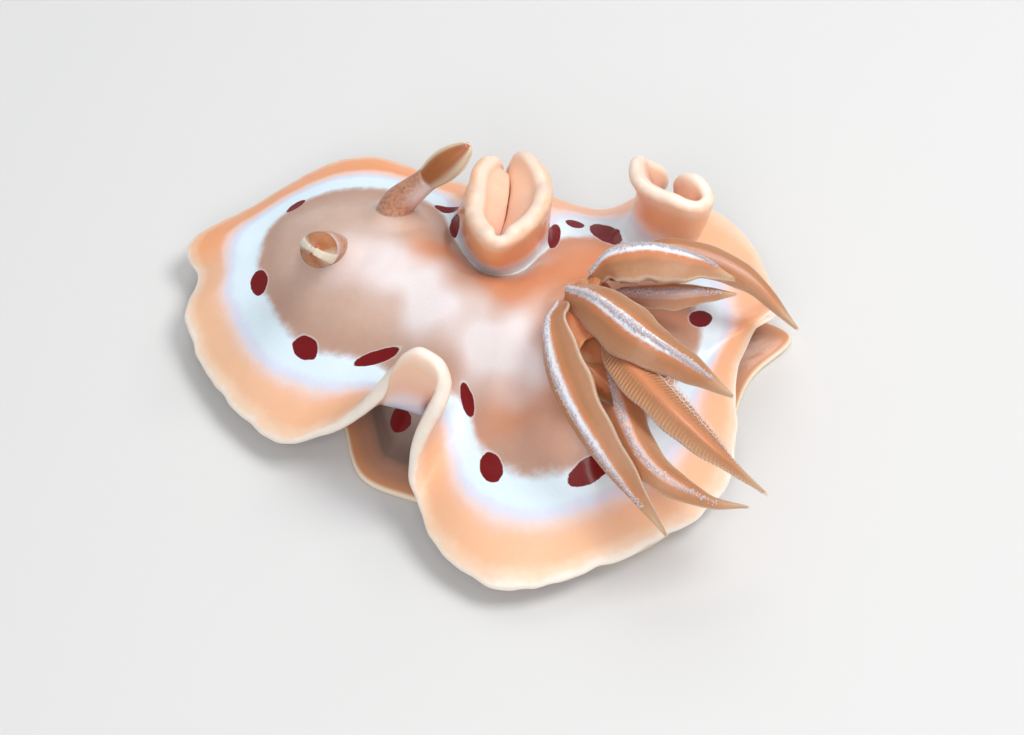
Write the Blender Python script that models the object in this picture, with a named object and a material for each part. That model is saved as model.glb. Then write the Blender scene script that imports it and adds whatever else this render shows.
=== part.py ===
"""Bloody glossodoris, a sea slug, as a still model in life size.

Metres, +X toward the head, +Y to the animal's left, +Z up, origin on the floor under the body.
The sizes below are in millimetres and are turned into metres when a mesh is made.
"""

import math

import bmesh
import bpy
import numpy as np
from mathutils import Vector
from mathutils.bvhtree import BVHTree

MM = 0.001

# Driving dimensions, in millimetres
GAP = 0.3
MANTLE_ROOT = 1.4
MANTLE_RIM = 0.95
MANTLE_LEAST = 0.5
MANTLE_INSET = 0.25
LIP_REACH = 0.35
FOLD_SLACK = 0.38
FOLD_PAD_RAMP = 0.6
# How much thicker the skirt is in its standing folds
FOLD_PAD = (
    ("right fold foot", 0.0),
    ("right fold cleft", 0.15),
    ("right fold tip", 0.3),
    ("right fold shoulder", 0.7),
    ("right fold arm", 0.75),
    ("right fold turn", 0.65),
    ("right fold crest", 0.6),
    ("right fold far turn", 0.65),
    ("right fold far arm", 0.75),
    ("right fold far shoulder", 0.7),
    ("right fold far tip", 0.3),
    ("right fold far cleft", 0.15),
    ("right fold far foot", 0.0),
    ("rear fold foot", 0.0),
    ("rear fold shoulder", 0.1),
    ("rear fold crest", 0.0),
    ("rear fold turn", -0.1),
    ("rear fold hook", 0.0),
    ("rear fold hook end", 0.0),
    ("rear right lobe", 0.0),
    ("left fold foot", 0.0),
    ("left fold turn", 0.4),
    ("left fold crest", 0.45),
    ("left fold far foot", 0.0),
)
# The right fold's two inner faces draw together from where the fold starts to its far end
CLOSED_FOLD = (
    "right fold cleft",
    "right fold tip",
    "right fold shoulder",
    "right fold arm",
    "right fold turn",
    "right fold crest",
    "right fold far turn",
    "right fold far arm",
    "right fold far shoulder",
    "right fold far tip",
    "right fold far cleft",
)
FOLD_CLOSE = 0.6
FOLD_FUNNEL = 0.45
FOLD_ROOT = 0.25
MANTLE_STEP = 2.0
FOLD_STEP = 1.15
MANTLE_ROWS = (0.0, 0.14, 0.34, 0.56, 0.78, 1.0)
FOLD_BELLY = 0.2
FOLD_SAG = 0.08
RIGHT_FOLD_PINCH = -0.19
LOBE_CROWN = 0.10

BACK_RINGS = (0.0, 0.1, 0.24, 0.42, 0.64, 0.88)
BACK_COLUMNS = 84
BACK_SPINE_FRONT = (14.5, -3.6)
BACK_SPINE_REAR = (-10.5, 0.2)
BACK_HEIGHTS = ((-10.5, 9.2), (-8.0, 9.9), (0.0, 10.6), (8.0, 9.9), (14.5, 8.9))
# Where the spine's point for a point of the edge lies: share of its x, and how far behind that
SPINE_SCALE = 0.8
SPINE_SHIFT = 0.5
WALL_INSET = 0.8
WALL_DROP = 0.15
WALL_REACH = 6.0
WALL_HOLLOW = 0.15
WALL_SHELF = 0.5
WALL_FOOT = 1.9
BACK_CUTS = (-13.0, -5.6, 6.2)

FOOT_SHELF = 2.6
# Rings of the foot from the sole up: inset from its outline, height
FOOT_RINGS = ((0.45, 0.0), (0.0, 0.32), (0.3, 0.75), (1.5, 1.25), (FOOT_SHELF, 1.6))
FOOT_CUTS = (-9.4, 8.2)
FOOT_COLUMNS = 64

HORN_LEFT = ((13.9, -2.2), (-0.16, 0.66, 0.73))
HORN_RIGHT = ((10.5, -8.1), (-0.64, -0.28, 0.71))
HORN_LENGTH = 9.4
HORN_RADIUS = 1.35
HORN_SIDES = 14
HORN_LEAVES = 10
SHEATH_RADIUS = 2.1
SHEATH_HEIGHT = 0.7
STALK_GAP = 0.34
# Where the stalk ends and the club begins, as a share of the whole feeler
STALK_SHARE = 0.45
# Rings of the stalk: how far on each lies, its radius, how far it has turned to the feeler's own axis
STALK = (
    (0.0, 1.2, 0.0),
    (0.35, 1.28, 0.3),
    (0.35, 1.27, 0.6),
    (0.4, 1.25, 0.9),
    (0.5 * STALK_SHARE * HORN_LENGTH, 1.15, 1.0),
    (0.3 * STALK_SHARE * HORN_LENGTH, 1.15, 1.0),
)
# The club's leaves end at this share of its length, then a plain tip: share of the length, of the radius
CLUB_LEAVED = 0.86
CLUB_BODY = 0.86
CLUB_SWELL = 0.2
CLUB_TAPER = 0.62
CLUB_GROOVE = 0.84
CLUB_TIP = ((0.86, 0.42), (0.95, 0.32), (1.0, 0.14))

SNOUT_PLACE = (20.9, -4.0, 2.45)
SNOUT_SIZE = (1.35, 2.2, 0.75)
SNOUT_RINGS = 7
# Mouth feelers: start from the snout's middle, direction, then height and radius from root to tip
MOUTH_FEELER_PLACE = (0.8, 2.6, -0.15)
MOUTH_FEELER_WAY = (0.72, 0.62, -0.05)
MOUTH_FEELER = ((0.0, 0.5), (0.9, 0.46), (1.7, 0.36), (2.0, 0.2))

GILL_PLACE = (-7.9, -1.4)
GILL_POCKET_RADIUS = 3.1
GILL_POCKET_HEIGHT = 0.5
GILL_STEM_RADIUS = 1.25
GILL_STEM_HEIGHT = 0.9
GILL_BLADE = 0.6
GILL_CORE = 0.66
GILL_SLOPE = 0.45
GILL_STATIONS = 11
# Under side of a leaf: how wide against its top, how deep its keel against its blade
GILL_UNDER = 0.86
GILL_KEEL = 1.7
VANE_STEP = 1.1
VANE_ROOT = 0.2
VANE_BREADTH = 0.82
VANE_SHARES = ((VANE_ROOT, 1.0), (0.72, 0.95), (1.0, 0.78))
VANE_THICKNESS = 0.55
VANE_SWEEP = 0.35
VANE_SINK = 0.06
VANE_LEAST_WIDTH = 0.75
MERGE = 0.004

# Round the mantle, from the front corner over the animal's right to the rear and back along the left:
# where the skirt leaves the back, and where its rim runs
EDGE = (
    ("front corner", (20.9, -4.3, 5.5), (27.4, -3.5, 3.0)),
    ("front", (20.4, -7.1, 5.7), (24.6, -8.4, 3.3)),
    ("front right", (18.1, -9.8, 6.2), (20.8, -13.4, 3.9)),
    ("right lobe", (13.9, -12.0, 6.4), (15.0, -17.3, 4.0)),
    ("right lobe end", (10.0, -12.0, 6.5), (9.4, -17.0, 3.5)),
    ("right fold foot", (8.3, -11.3, 6.7), (6.5, -16.8, 3.9)),
    ("right fold cleft", (7.4, -10.6, 6.7), (4.8, -15.0, 6.6)),
    ("right fold tip", (6.7, -9.8, 6.9), (4.3, -14.4, 9.8)),
    ("right fold shoulder", (6.1, -8.9, 7.1), (4.9, -12.2, 11.6)),
    ("right fold arm", (4.9, -7.2, 7.5), (4.4, -8.6, 12.5)),
    ("right fold turn", (3.3, -5.3, 8.1), (2.9, -4.1, 13.9)),
    ("right fold crest", (1.2, -4.0, 8.5), (-0.35, -1.6, 14.95)),
    ("right fold far turn", (-0.8, -4.9, 8.3), (-2.4, -4.7, 14.3)),
    ("right fold far arm", (-1.9, -7.2, 7.9), (-2.6, -8.9, 13.1)),
    ("right fold far shoulder", (-2.4, -8.8, 7.5), (-1.6, -12.0, 12.0)),
    ("right fold far tip", (-2.7, -9.8, 7.3), (1.3, -14.9, 10.9)),
    ("right fold far cleft", (-3.0, -10.5, 7.1), (2.3, -15.4, 8.2)),
    ("right fold far foot", (-3.5, -11.2, 6.9), (1.2, -16.9, 5.0)),
    ("trough", (-4.3, -11.6, 6.9), (-1.8, -18.4, 3.9)),
    ("trough end", (-5.3, -12.0, 6.9), (-5.0, -19.2, 3.5)),
    ("rear fold foot", (-6.3, -12.1, 6.9), (-7.6, -19.2, 5.0)),
    ("rear fold tip", (-7.0, -12.0, 7.0), (-8.8, -17.6, 9.6)),
    ("rear fold shoulder", (-7.7, -11.7, 7.0), (-7.3, -16.6, 11.7)),
    ("rear fold arm", (-8.6, -11.1, 7.0), (-7.7, -13.8, 12.2)),
    ("rear fold crest", (-10.3, -10.0, 7.0), (-10.8, -11.4, 12.9)),
    ("rear fold turn", (-11.7, -9.3, 6.8), (-13.9, -11.9, 12.4)),
    ("rear fold far arm", (-12.5, -8.9, 6.8), (-14.6, -14.1, 12.0)),
    ("rear fold hook", (-13.3, -8.6, 6.7), (-12.7, -16.1, 11.4)),
    ("rear fold hook end", (-14.1, -8.1, 6.6), (-11.5, -17.9, 8.2)),
    ("rear right lobe foot", (-14.7, -7.6, 6.5), (-13.4, -19.6, 4.4)),
    ("rear right lobe", (-15.4, -6.6, 6.4), (-17.6, -18.1, 2.5)),
    ("rear right lobe end", (-16.0, -5.5, 6.4), (-20.0, -14.3, 2.6)),
    ("ridge", (-16.5, -3.4, 6.2), (-20.8, -8.2, 6.6)),
    ("ridge end", (-16.1, -0.7, 6.0), (-19.5, -4.2, 4.2)),
    ("rear", (-14.7, 2.7, 6.0), (-21.0, 2.0, 2.7)),
    ("rear left", (-13.7, 7.0, 6.0), (-20.3, 8.7, 2.5)),
    ("rear left lobe", (-10.4, 11.1, 6.0), (-15.2, 14.8, 2.5)),
    ("rear left lobe tip", (-6.2, 12.7, 6.0), (-8.2, 19.9, 2.5)),
    ("rear left lobe end", (-3.0, 11.6, 6.1), (-2.0, 18.5, 2.6)),
    ("left fold foot", (-1.5, 9.4, 6.3), (1.2, 14.5, 4.6)),
    ("left fold arm", (-0.2, 7.8, 6.5), (0.4, 12.7, 9.8)),
    ("left fold turn", (1.3, 7.3, 6.7), (-0.3, 10.3, 13.3)),
    ("left fold crest", (3.1, 7.4, 6.8), (2.2, 9.1, 14.0)),
    ("left fold far arm", (5.3, 7.0, 6.6), (5.2, 9.9, 10.8)),
    ("left fold far foot", (7.3, 6.0, 6.4), (8.6, 11.1, 5.7)),
    ("left lobe start", (9.6, 5.7, 6.2), (13.0, 12.2, 2.9)),
    ("left lobe", (13.4, 5.7, 5.9), (17.7, 10.4, 2.5)),
    ("left lobe end", (17.1, 3.0, 5.6), (22.4, 6.3, 2.6)),
    ("front left", (19.7, 0.0, 5.5), (25.2, 1.9, 2.9)),
    ("front dent", (20.6, -2.4, 5.5), (25.7, -1.7, 2.8)),
)

# The mantle's pieces, each from one station of EDGE to another
SKIRT = (
    ("mantle_front", "front left", "front right"),
    ("mantle_right_front", "front right", "right fold foot"),
    ("mantle_right_fold_near", "right fold foot", "right fold arm"),
    ("mantle_right_fold_crest", "right fold arm", "right fold far arm"),
    ("mantle_right_fold_far", "right fold far arm", "right fold far foot"),
    ("mantle_right_trough", "right fold far foot", "rear fold foot"),
    ("mantle_rear_fold_near", "rear fold foot", "rear fold shoulder"),
    ("mantle_rear_fold_crest", "rear fold shoulder", "rear fold crest"),
    ("mantle_rear_fold_far", "rear fold crest", "rear right lobe"),
    ("mantle_rear_right", "rear right lobe", "rear right lobe end"),
    ("mantle_rear", "rear right lobe end", "rear left"),
    ("mantle_rear_left", "rear left", "rear left lobe end"),
    ("mantle_left_fold_near", "rear left lobe end", "left fold arm"),
    ("mantle_left_fold_crest", "left fold arm", "left fold far foot"),
    ("mantle_left_fold_far", "left fold far foot", "left lobe"),
    ("mantle_left", "left lobe", "front left"),
)

# Outline of the foot, from the front over the right to the tail and back along the left
FOOT = (
    (19.4, -3.6),
    (17.2, -7.4),
    (11.6, -9.2),
    (3.6, -9.8),
    (-5.0, -10.2),
    (-13.0, -11.2),
    (-19.0, -12.2),
    (-22.6, -11.2),
    (-21.0, -7.4),
    (-20.2, -1.6),
    (-19.6, 5.0),
    (-17.6, 11.2),
    (-13.2, 14.8),
    (-6.0, 14.4),
    (2.6, 13.4),
    (6.6, 12.6),
    (9.4, 8.6),
    (14.4, 3.6),
    (18.2, 0.2),
)

# Gill leaves: name, widest half width, facing, then the line of the ridge from root to tip
GILLS = (
    ("gill_leaf_1", 1.9, (0.1, -0.3, 1.0), (
        (-7.2, -3.4, 12.3), (-8.6, -4.4, 14.4), (-11.8, -5.2, 15.3), (-15.3, -5.8, 14.4),
        (-18.2, -5.8, 12.8))),
    ("gill_leaf_2", 1.6, (0.1, 0.1, 1.0), (
        (-8.4, -4.0, 11.6), (-12.4, -7.2, 12.9), (-18.4, -7.9, 11.3), (-23.6, -5.9, 8.4))),
    ("gill_leaf_3", 0.9, (0.0, 0.1, 1.0), (
        (-9.6, -2.7, 11.7), (-12.6, -3.3, 12.0), (-15.6, -4.3, 12.0), (-18.6, -5.2, 11.7))),
    ("gill_leaf_4", 1.9, (0.2, 0.2, 1.0), (
        (-6.0, -1.2, 12.6), (-8.8, 0.9, 14.9), (-13.2, 3.3, 15.1), (-17.2, 3.6, 13.1), (-20.6, 3.6, 10.4))),
    ("gill_leaf_5", 1.7, (0.8, 0.9, 0.9), (
        (-5.7, 0.2, 12.4), (-5.8, 3.9, 13.7), (-8.1, 8.5, 13.3), (-12.6, 12.6, 11.3), (-18.5, 14.9, 6.5))),
    ("gill_leaf_6", 1.5, (0.2, 0.2, 1.0), (
        (-7.9, 0.6, 11.7), (-10.4, 3.8, 11.1), (-15.3, 11.1, 10.7), (-20.3, 12.4, 9.0), (-23.8, 10.9, 7.0))),
    ("gill_leaf_7", 1.5, (0.3, -0.2, 1.0), (
        (-9.6, 0.4, 12.1), (-11.9, 4.1, 13.1), (-15.9, 7.1, 12.8), (-20.7, 9.1, 10.9), (-24.8, 9.8, 7.9))),
    ("gill_leaf_8", 1.1, (0.1, 0.0, 1.0), (
        (-10.1, -0.9, 11.7), (-12.9, 0.7, 11.9), (-15.4, 1.4, 11.2), (-18.0, 1.5, 10.0))),
)

FLESH = (0.66, 0.44, 0.30)
PEACH = (0.93, 0.55, 0.33)
CREAM = (0.93, 0.80, 0.66)
RUST = (0.70, 0.33, 0.14)
WALL = (0.48, 0.38, 0.33)


def paint(name, colour, rough=0.38):
    """A Principled material of its own for one node."""
    stuff = bpy.data.materials.new(name + "_skin")
    stuff.use_nodes = True
    shader = stuff.node_tree.nodes["Principled BSDF"]
    shader.inputs["Base Color"].default_value = (*colour, 1.0)
    shader.inputs["Roughness"].default_value = rough
    stuff.diffuse_color = (*colour, 1.0)
    return stuff


def add_node(name, points, faces, colour):
    """One object from points in millimetres, with its faces turned outward."""
    mesh = bpy.data.meshes.new(name)
    mesh.from_pydata([tuple(p) for p in np.asarray(points) * MM], [], faces)
    shape = bmesh.new()
    shape.from_mesh(mesh)
    bmesh.ops.recalc_face_normals(shape, faces=shape.faces)
    if shape.calc_volume(signed=True) < 0:
        bmesh.ops.reverse_faces(shape, faces=shape.faces)
    shape.to_mesh(mesh)
    shape.free()
    mesh.materials.append(paint(name, colour))
    thing = bpy.data.objects.new(name, mesh)
    bpy.context.scene.collection.objects.link(thing)
    return thing


class Loop:
    """A closed smooth line through stations, with a smooth second derivative."""

    def __init__(self, places, points):
        self.places = np.asarray(places, float)
        self.points = np.asarray(points, float)
        count = len(self.points)
        steps = np.diff(self.places)
        after = np.roll(self.points, -1, axis=0)
        slopes = (after - self.points) / steps[:, None]
        system = np.zeros((count, count))
        right = np.zeros_like(self.points)
        for k in range(count):
            before = steps[k - 1]
            system[k, k - 1] += before
            system[k, k] += 2 * (before + steps[k])
            system[k, (k + 1) % count] += steps[k]
            right[k] = 6 * (slopes[k] - slopes[k - 1])
        self.bends = np.linalg.solve(system, right)
        self.steps = steps

    def at(self, places):
        places = np.asarray(places, float)
        span = self.places[-1] - self.places[0]
        wrapped = (places - self.places[0]) % span + self.places[0]
        k = np.clip(np.searchsorted(self.places, wrapped, side="right") - 1, 0, len(self.steps) - 1)
        h = self.steps[k][..., None]
        a = (self.places[k + 1] - wrapped)[..., None] / h
        b = 1.0 - a
        n = (k + 1) % len(self.points)
        curve = a * self.points[k] + b * self.points[n]
        return curve + ((a**3 - a) * self.bends[k] + (b**3 - b) * self.bends[n]) * h**2 / 6


def smooth(x):
    x = np.clip(x, 0.0, 1.0)
    return x * x * (3 - 2 * x)


NAMES = [row[0] for row in EDGE]
INNER = np.array([row[1] for row in EDGE], float)
RIM = np.array([row[2] for row in EDGE], float)


def edge_places():
    inner = np.linalg.norm(np.roll(INNER, -1, axis=0) - INNER, axis=1)
    rim = np.linalg.norm(np.roll(RIM, -1, axis=0) - RIM, axis=1)
    return np.concatenate([[0.0], np.cumsum(0.25 * inner + 0.75 * rim)])


PLACES = edge_places()
AROUND = PLACES[-1]
INNER_LINE = Loop(PLACES, INNER)
RIM_LINE = Loop(PLACES, RIM)


def place_of(station):
    return PLACES[NAMES.index(station)]


def outward(places):
    """The level direction out of the body at the skirt's root."""
    ahead = INNER_LINE.at(places + 0.05) - INNER_LINE.at(places - 0.05)
    ahead = ahead[..., :2] / np.linalg.norm(ahead[..., :2], axis=-1, keepdims=True)
    return np.stack([-ahead[..., 1], ahead[..., 0], np.zeros_like(ahead[..., 0])], axis=-1)


def right_fold(places):
    """1 within the right fold, 0 away from it."""
    low, high = place_of("right fold tip"), place_of("right fold far tip")
    return smooth((places - low) / 4 + 0.5) * smooth((high - places) / 4 + 0.5)


def mantle(places, across):
    """The skirt's upper face: places run along the edge, across runs from the root to the rim."""
    places, across = np.broadcast_arrays(np.asarray(places, float), np.asarray(across, float))
    root = INNER_LINE.at(places)
    rim = RIM_LINE.at(places)
    out = outward(places)
    rise = (rim - root)[..., 2:3]
    up = np.array([0.0, 0.0, 1.0])
    fold = np.maximum(rise, 0.0)
    drop = np.maximum(-rise, 0.0)
    share = FOLD_BELLY + RIGHT_FOLD_PINCH * right_fold(places)[..., None]
    belly = out * share * fold - up * FOLD_SAG * fold + up * LOBE_CROWN * drop
    t = across[..., None]
    return root + (rim - root) * t + 4 * t * (1 - t) * belly


def mantle_normal(places, across):
    along = mantle(places + 0.02, across) - mantle(places - 0.02, across)
    down = mantle(places, across + 0.005) - mantle(places, across - 0.005)
    normal = np.cross(along, down)
    normal /= np.linalg.norm(normal, axis=-1, keepdims=True)
    lift = smooth(across / 0.25)[..., None]
    normal = lift * normal + (1 - lift) * np.array([0.0, 0.0, 1.0])
    return normal / np.linalg.norm(normal, axis=-1, keepdims=True)


def fold_pad(places):
    stations = [place_of(name) for name, _ in FOLD_PAD]
    return np.interp(places, stations, [pad for _, pad in FOLD_PAD])


def mantle_thickness(places, across):
    """Thinner toward the rim, and inside a tight fold thin enough to stay clear of itself."""
    thick = MANTLE_ROOT + (MANTLE_RIM - MANTLE_ROOT) * across
    thick = thick + fold_pad(places) * smooth(across / FOLD_PAD_RAMP)
    found = np.full(places.shape, np.inf)
    for shift in (-0.8, -0.4, 0.0, 0.4, 0.8):
        spots = places + shift
        along = mantle(spots + 0.1, across) - mantle(spots - 0.1, across)
        turn = mantle_normal(spots + 0.1, across) - mantle_normal(spots - 0.1, across)
        bend = (turn * along).sum(axis=-1) / (along * along).sum(axis=-1)
        limit = np.where(bend > 1e-4, FOLD_SLACK / np.maximum(bend, 1e-4), np.inf)
        found = np.minimum(found, limit)
    return np.clip(np.minimum(thick, found), MANTLE_LEAST, None)


def under_face(places, across):
    """The skirt's under face, drawn together inside the right fold."""
    stations = [place_of(name) for name in CLOSED_FOLD]
    lead = stations[1] - stations[0]
    inside = smooth((places - stations[0]) / lead) * smooth((stations[-1] - places) / lead)
    weight = FOLD_CLOSE * inside * smooth((1 - across) / FOLD_FUNNEL) * smooth(across / FOLD_ROOT)

    def plain(spots):
        thick = mantle_thickness(spots, across)[..., None]
        return mantle(spots, across) - mantle_normal(spots, across) * thick

    here = plain(places)
    return here + 0.5 * (plain(np.interp(places, stations, stations[::-1])) - here) * weight[..., None]


def skirt_piece(name, first, last):
    """A piece of the mantle's skirt between two stations, with rounded rim."""
    start, end = place_of(first), place_of(last)
    if end < start:
        end += AROUND
    step = FOLD_STEP if "fold" in name else MANTLE_STEP
    columns = max(3, int(round((end - start) / step)) + 1)
    rows = np.array(MANTLE_ROWS)
    grid = np.zeros((len(rows), columns))
    for r, t in enumerate(rows):
        ends = np.array([start, end])
        speed = np.linalg.norm(mantle(ends + 0.01, t) - mantle(ends - 0.01, t), axis=-1) / 0.02
        pull = 0.5 * GAP / np.maximum(speed, 0.2)
        grid[r] = np.linspace(start + pull[0], end - pull[1], columns)
    across = np.repeat(rows[:, None], columns, axis=1)
    step = np.linalg.norm(mantle(grid[0], 0.01) - mantle(grid[0], 0.0), axis=-1) / 0.01
    across[0] = MANTLE_INSET / step
    top = mantle(grid, across)
    normal = mantle_normal(grid, across)
    thick = mantle_thickness(grid, across)[..., None]
    under = under_face(grid, across)
    lip = top[-1] - normal[-1] * thick[-1] * 0.5
    out = mantle(grid[-1], 1.0) - mantle(grid[-1], 0.96)
    out /= np.linalg.norm(out, axis=-1, keepdims=True)
    lip = lip + out * thick[-1] * LIP_REACH
    sheet = list(top) + [lip] + list(under[::-1])
    return name, np.array(sheet)


def closed_strip(sheet):
    """Points and faces of a closed body from rows of points that run round its section."""
    rows, columns = sheet.shape[:2]
    points = sheet.reshape(-1, 3)
    faces = []
    for r in range(rows):
        n = (r + 1) % rows
        for c in range(columns - 1):
            faces.append((r * columns + c, n * columns + c, n * columns + c + 1, r * columns + c + 1))
    half = rows // 2
    for side, turn in ((0, 1), (columns - 1, -1)):
        for r in range(half):
            a, b = r, rows - 1 - r
            c, d = r + 1, rows - 2 - r
            ring = [a, c, d, b] if c != d else [a, c, b]
            cap = [k * columns + side for k in ring][::turn]
            faces.append(tuple(cap))
    return points, faces


def tube(rings, ladder=False):
    """Points and faces of a closed body from rings of equal count. A ladder closes a bent first ring."""
    rings = np.asarray(rings, float)
    count, sides = rings.shape[:2]
    faces = []
    for r in range(count - 1):
        for k in range(sides):
            n = (k + 1) % sides
            faces.append((r * sides + k, r * sides + n, (r + 1) * sides + n, (r + 1) * sides + k))
    first = list(range(sides))
    last = [(count - 1) * sides + k for k in range(sides)]
    faces += rungs(first) if ladder else [tuple(first[::-1])]
    faces.append(tuple(last))
    return rings.reshape(-1, 3), faces


def rungs(ring):
    """Faces that close a ring, one across each pair of points from its start to its far end."""
    ring = list(ring)
    count = len(ring)
    faces = []
    for k in range((count - 1) // 2):
        quad = [ring[k], ring[k + 1], ring[count - 2 - k], ring[count - 1 - k]]
        faces.append(tuple(dict.fromkeys(quad)))
    return faces


def spine_height(x):
    xs = [row[0] for row in BACK_HEIGHTS]
    zs = [row[1] for row in BACK_HEIGHTS]
    return np.interp(x, xs, zs)


def ring_ray(start, toward, outline):
    """How far the ray from start reaches before it meets the outline, in units of toward."""
    best = np.inf
    count = len(outline)
    for k in range(count):
        a, b = outline[k], outline[(k + 1) % count]
        side = b - a
        det = toward[0] * -side[1] + side[0] * toward[1]
        if abs(det) < 1e-9:
            continue
        gap = a - start
        far = (gap[0] * -side[1] + side[0] * gap[1]) / det
        along = (toward[0] * gap[1] - toward[1] * gap[0]) / det
        if far > 0 and -1e-9 <= along <= 1 + 1e-9:
            best = min(best, far)
    return best


def foot_outline(columns, inset):
    points = np.array(FOOT, float)
    steps = np.linalg.norm(np.roll(points, -1, axis=0) - points, axis=1)
    places = np.concatenate([[0.0], np.cumsum(steps)])
    line = Loop(places, points)
    spots = np.linspace(0, places[-1], columns, endpoint=False)
    ahead = line.at(spots + 0.05) - line.at(spots - 0.05)
    ahead /= np.linalg.norm(ahead, axis=1, keepdims=True)
    out = np.stack([-ahead[:, 1], ahead[:, 0]], axis=1)
    return line.at(spots) - out * inset


def level(outline, z):
    return np.column_stack([outline, np.full(len(outline), z)])


def back_rings():
    fine = np.linspace(0, AROUND, 2001)
    steps = np.linalg.norm(np.diff(INNER_LINE.at(fine), axis=0), axis=1)
    reach = np.concatenate([[0.0], np.cumsum(steps)])
    places = np.interp(np.linspace(0, reach[-1], BACK_COLUMNS, endpoint=False), reach, fine)
    line = INNER_LINE.at(places)
    out = outward(places)
    edge = line - out * MANTLE_INSET
    front, rear = np.array(BACK_SPINE_FRONT), np.array(BACK_SPINE_REAR)
    x = np.clip(SPINE_SCALE * line[:, 0] - SPINE_SHIFT, rear[0], front[0])
    y = rear[1] + (front[1] - rear[1]) * (x - rear[0]) / (front[0] - rear[0])
    spine = np.column_stack([x, y, spine_height(x)])
    rings = []
    for v in BACK_RINGS:
        ring = edge + (spine - edge) * v
        curve = 0.5 * smooth(v) + 0.5 * (1 - (1 - v) ** 2)
        ring[:, 2] = edge[:, 2] + (spine[:, 2] - edge[:, 2]) * curve
        rings.append(ring)
    rings = rings[::-1]
    under = edge.copy()
    under[:, 2] -= MANTLE_ROOT
    rings.append(under)
    wall = edge - out * WALL_INSET
    wall[:, 2] = under[:, 2] - WALL_DROP
    rings.append(wall)
    shelf = foot_outline(FOOT_COLUMNS, FOOT_SHELF + WALL_SHELF)
    base = wall.copy()
    for k in range(len(wall)):
        start = spine[k, :2]
        toward = wall[k, :2] - start
        far = ring_ray(start, toward, shelf)
        base[k, :2] = start + toward * min(far, 1.0 + WALL_REACH / np.linalg.norm(toward))
        base[k, 2] = WALL_FOOT
    mid = 0.5 * (wall + base)
    mid[:, :2] -= WALL_HOLLOW * (base - wall)[:, :2]
    rings.append(mid)
    rings.append(base)
    return np.array(rings)


def cut_between(points, faces, low, high):
    """The part of a closed body between two planes across X, with flat cut faces."""
    shape = bmesh.new()
    for point in points:
        shape.verts.new(point)
    shape.verts.ensure_lookup_table()
    for face in faces:
        shape.faces.new([shape.verts[k] for k in face])
    bmesh.ops.recalc_face_normals(shape, faces=shape.faces)
    for x, side in ((low, -1), (high, 1)):
        if x is None:
            continue
        geometry = shape.verts[:] + shape.edges[:] + shape.faces[:]
        bmesh.ops.bisect_plane(
            shape, geom=geometry, dist=1e-5, plane_co=(x, 0, 0), plane_no=(side, 0, 0), clear_outer=True
        )
        rim = [edge for edge in shape.edges if edge.is_boundary]
        bmesh.ops.holes_fill(shape, edges=rim, sides=0)
    shape.verts.index_update()
    found = [tuple(v.co) for v in shape.verts]
    made = [tuple(v.index for v in face.verts) for face in shape.faces]
    shape.free()
    return found, made


def cut_pieces(points, faces, cuts, names, colour):
    limits = [None, *cuts, None]
    for k, name in enumerate(names):
        low = None if limits[k] is None else limits[k] + GAP / 2
        high = None if limits[k + 1] is None else limits[k + 1] - GAP / 2
        found, made = cut_between(points, faces, low, high)
        add_node(name, found, made, colour)


def split(points, faces):
    """The same body with every face cut into triangles."""
    shape = bmesh.new()
    for point in points:
        shape.verts.new(point)
    shape.verts.ensure_lookup_table()
    for face in faces:
        shape.faces.new([shape.verts[k] for k in face])
    bmesh.ops.triangulate(shape, faces=shape.faces)
    shape.verts.index_update()
    found = [tuple(v.co) for v in shape.verts]
    made = [tuple(v.index for v in face.verts) for face in shape.faces]
    shape.free()
    return found, made


def make_back():
    points, faces = split(*tube(back_rings(), ladder=True))
    names = ("back_rear", "back_gill", "back_middle", "back_head")
    cut_pieces(points, faces, BACK_CUTS, names, FLESH)
    shape = bmesh.new()
    for point in points:
        shape.verts.new(point)
    shape.verts.ensure_lookup_table()
    for face in faces:
        shape.faces.new([shape.verts[k] for k in face])
    bmesh.ops.recalc_face_normals(shape, faces=shape.faces)
    tree = BVHTree.FromBMesh(shape)
    shape.free()
    return tree


def make_foot():
    rings = [level(foot_outline(FOOT_COLUMNS, inset), height) for inset, height in FOOT_RINGS]
    points, faces = tube(rings)
    cut_pieces(points, faces, FOOT_CUTS, ("foot_rear", "foot_middle", "foot_front"), CREAM)


def make_skirt():
    for name, first, last in SKIRT:
        label, sheet = skirt_piece(name, first, last)
        points, faces = closed_strip(sheet)
        add_node(label, points, faces, PEACH)


def frame_of(axis):
    axis = Vector(axis).normalized()
    side = axis.cross(Vector((0, 0, 1)))
    if side.length < 1e-3:
        side = Vector((1, 0, 0))
    side.normalize()
    return axis, side, side.cross(axis).normalized()


def turned(centre, axis, profile, sides):
    """Rings of a body turned round an axis: profile rows are (height, radius)."""
    axis, side, other = frame_of(axis)
    rings = []
    for height, radius in profile:
        middle = Vector(centre) + axis * height
        ring = []
        for k in range(sides):
            angle = 2 * math.pi * k / sides
            ring.append(middle + side * math.cos(angle) * radius + other * math.sin(angle) * radius)
        rings.append([tuple(p) for p in ring])
    return np.array(rings)


def ground(tree, x, y):
    hit = tree.ray_cast(Vector((x, y, 40.0)), Vector((0, 0, -1)))
    return hit[0], hit[1]


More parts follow.
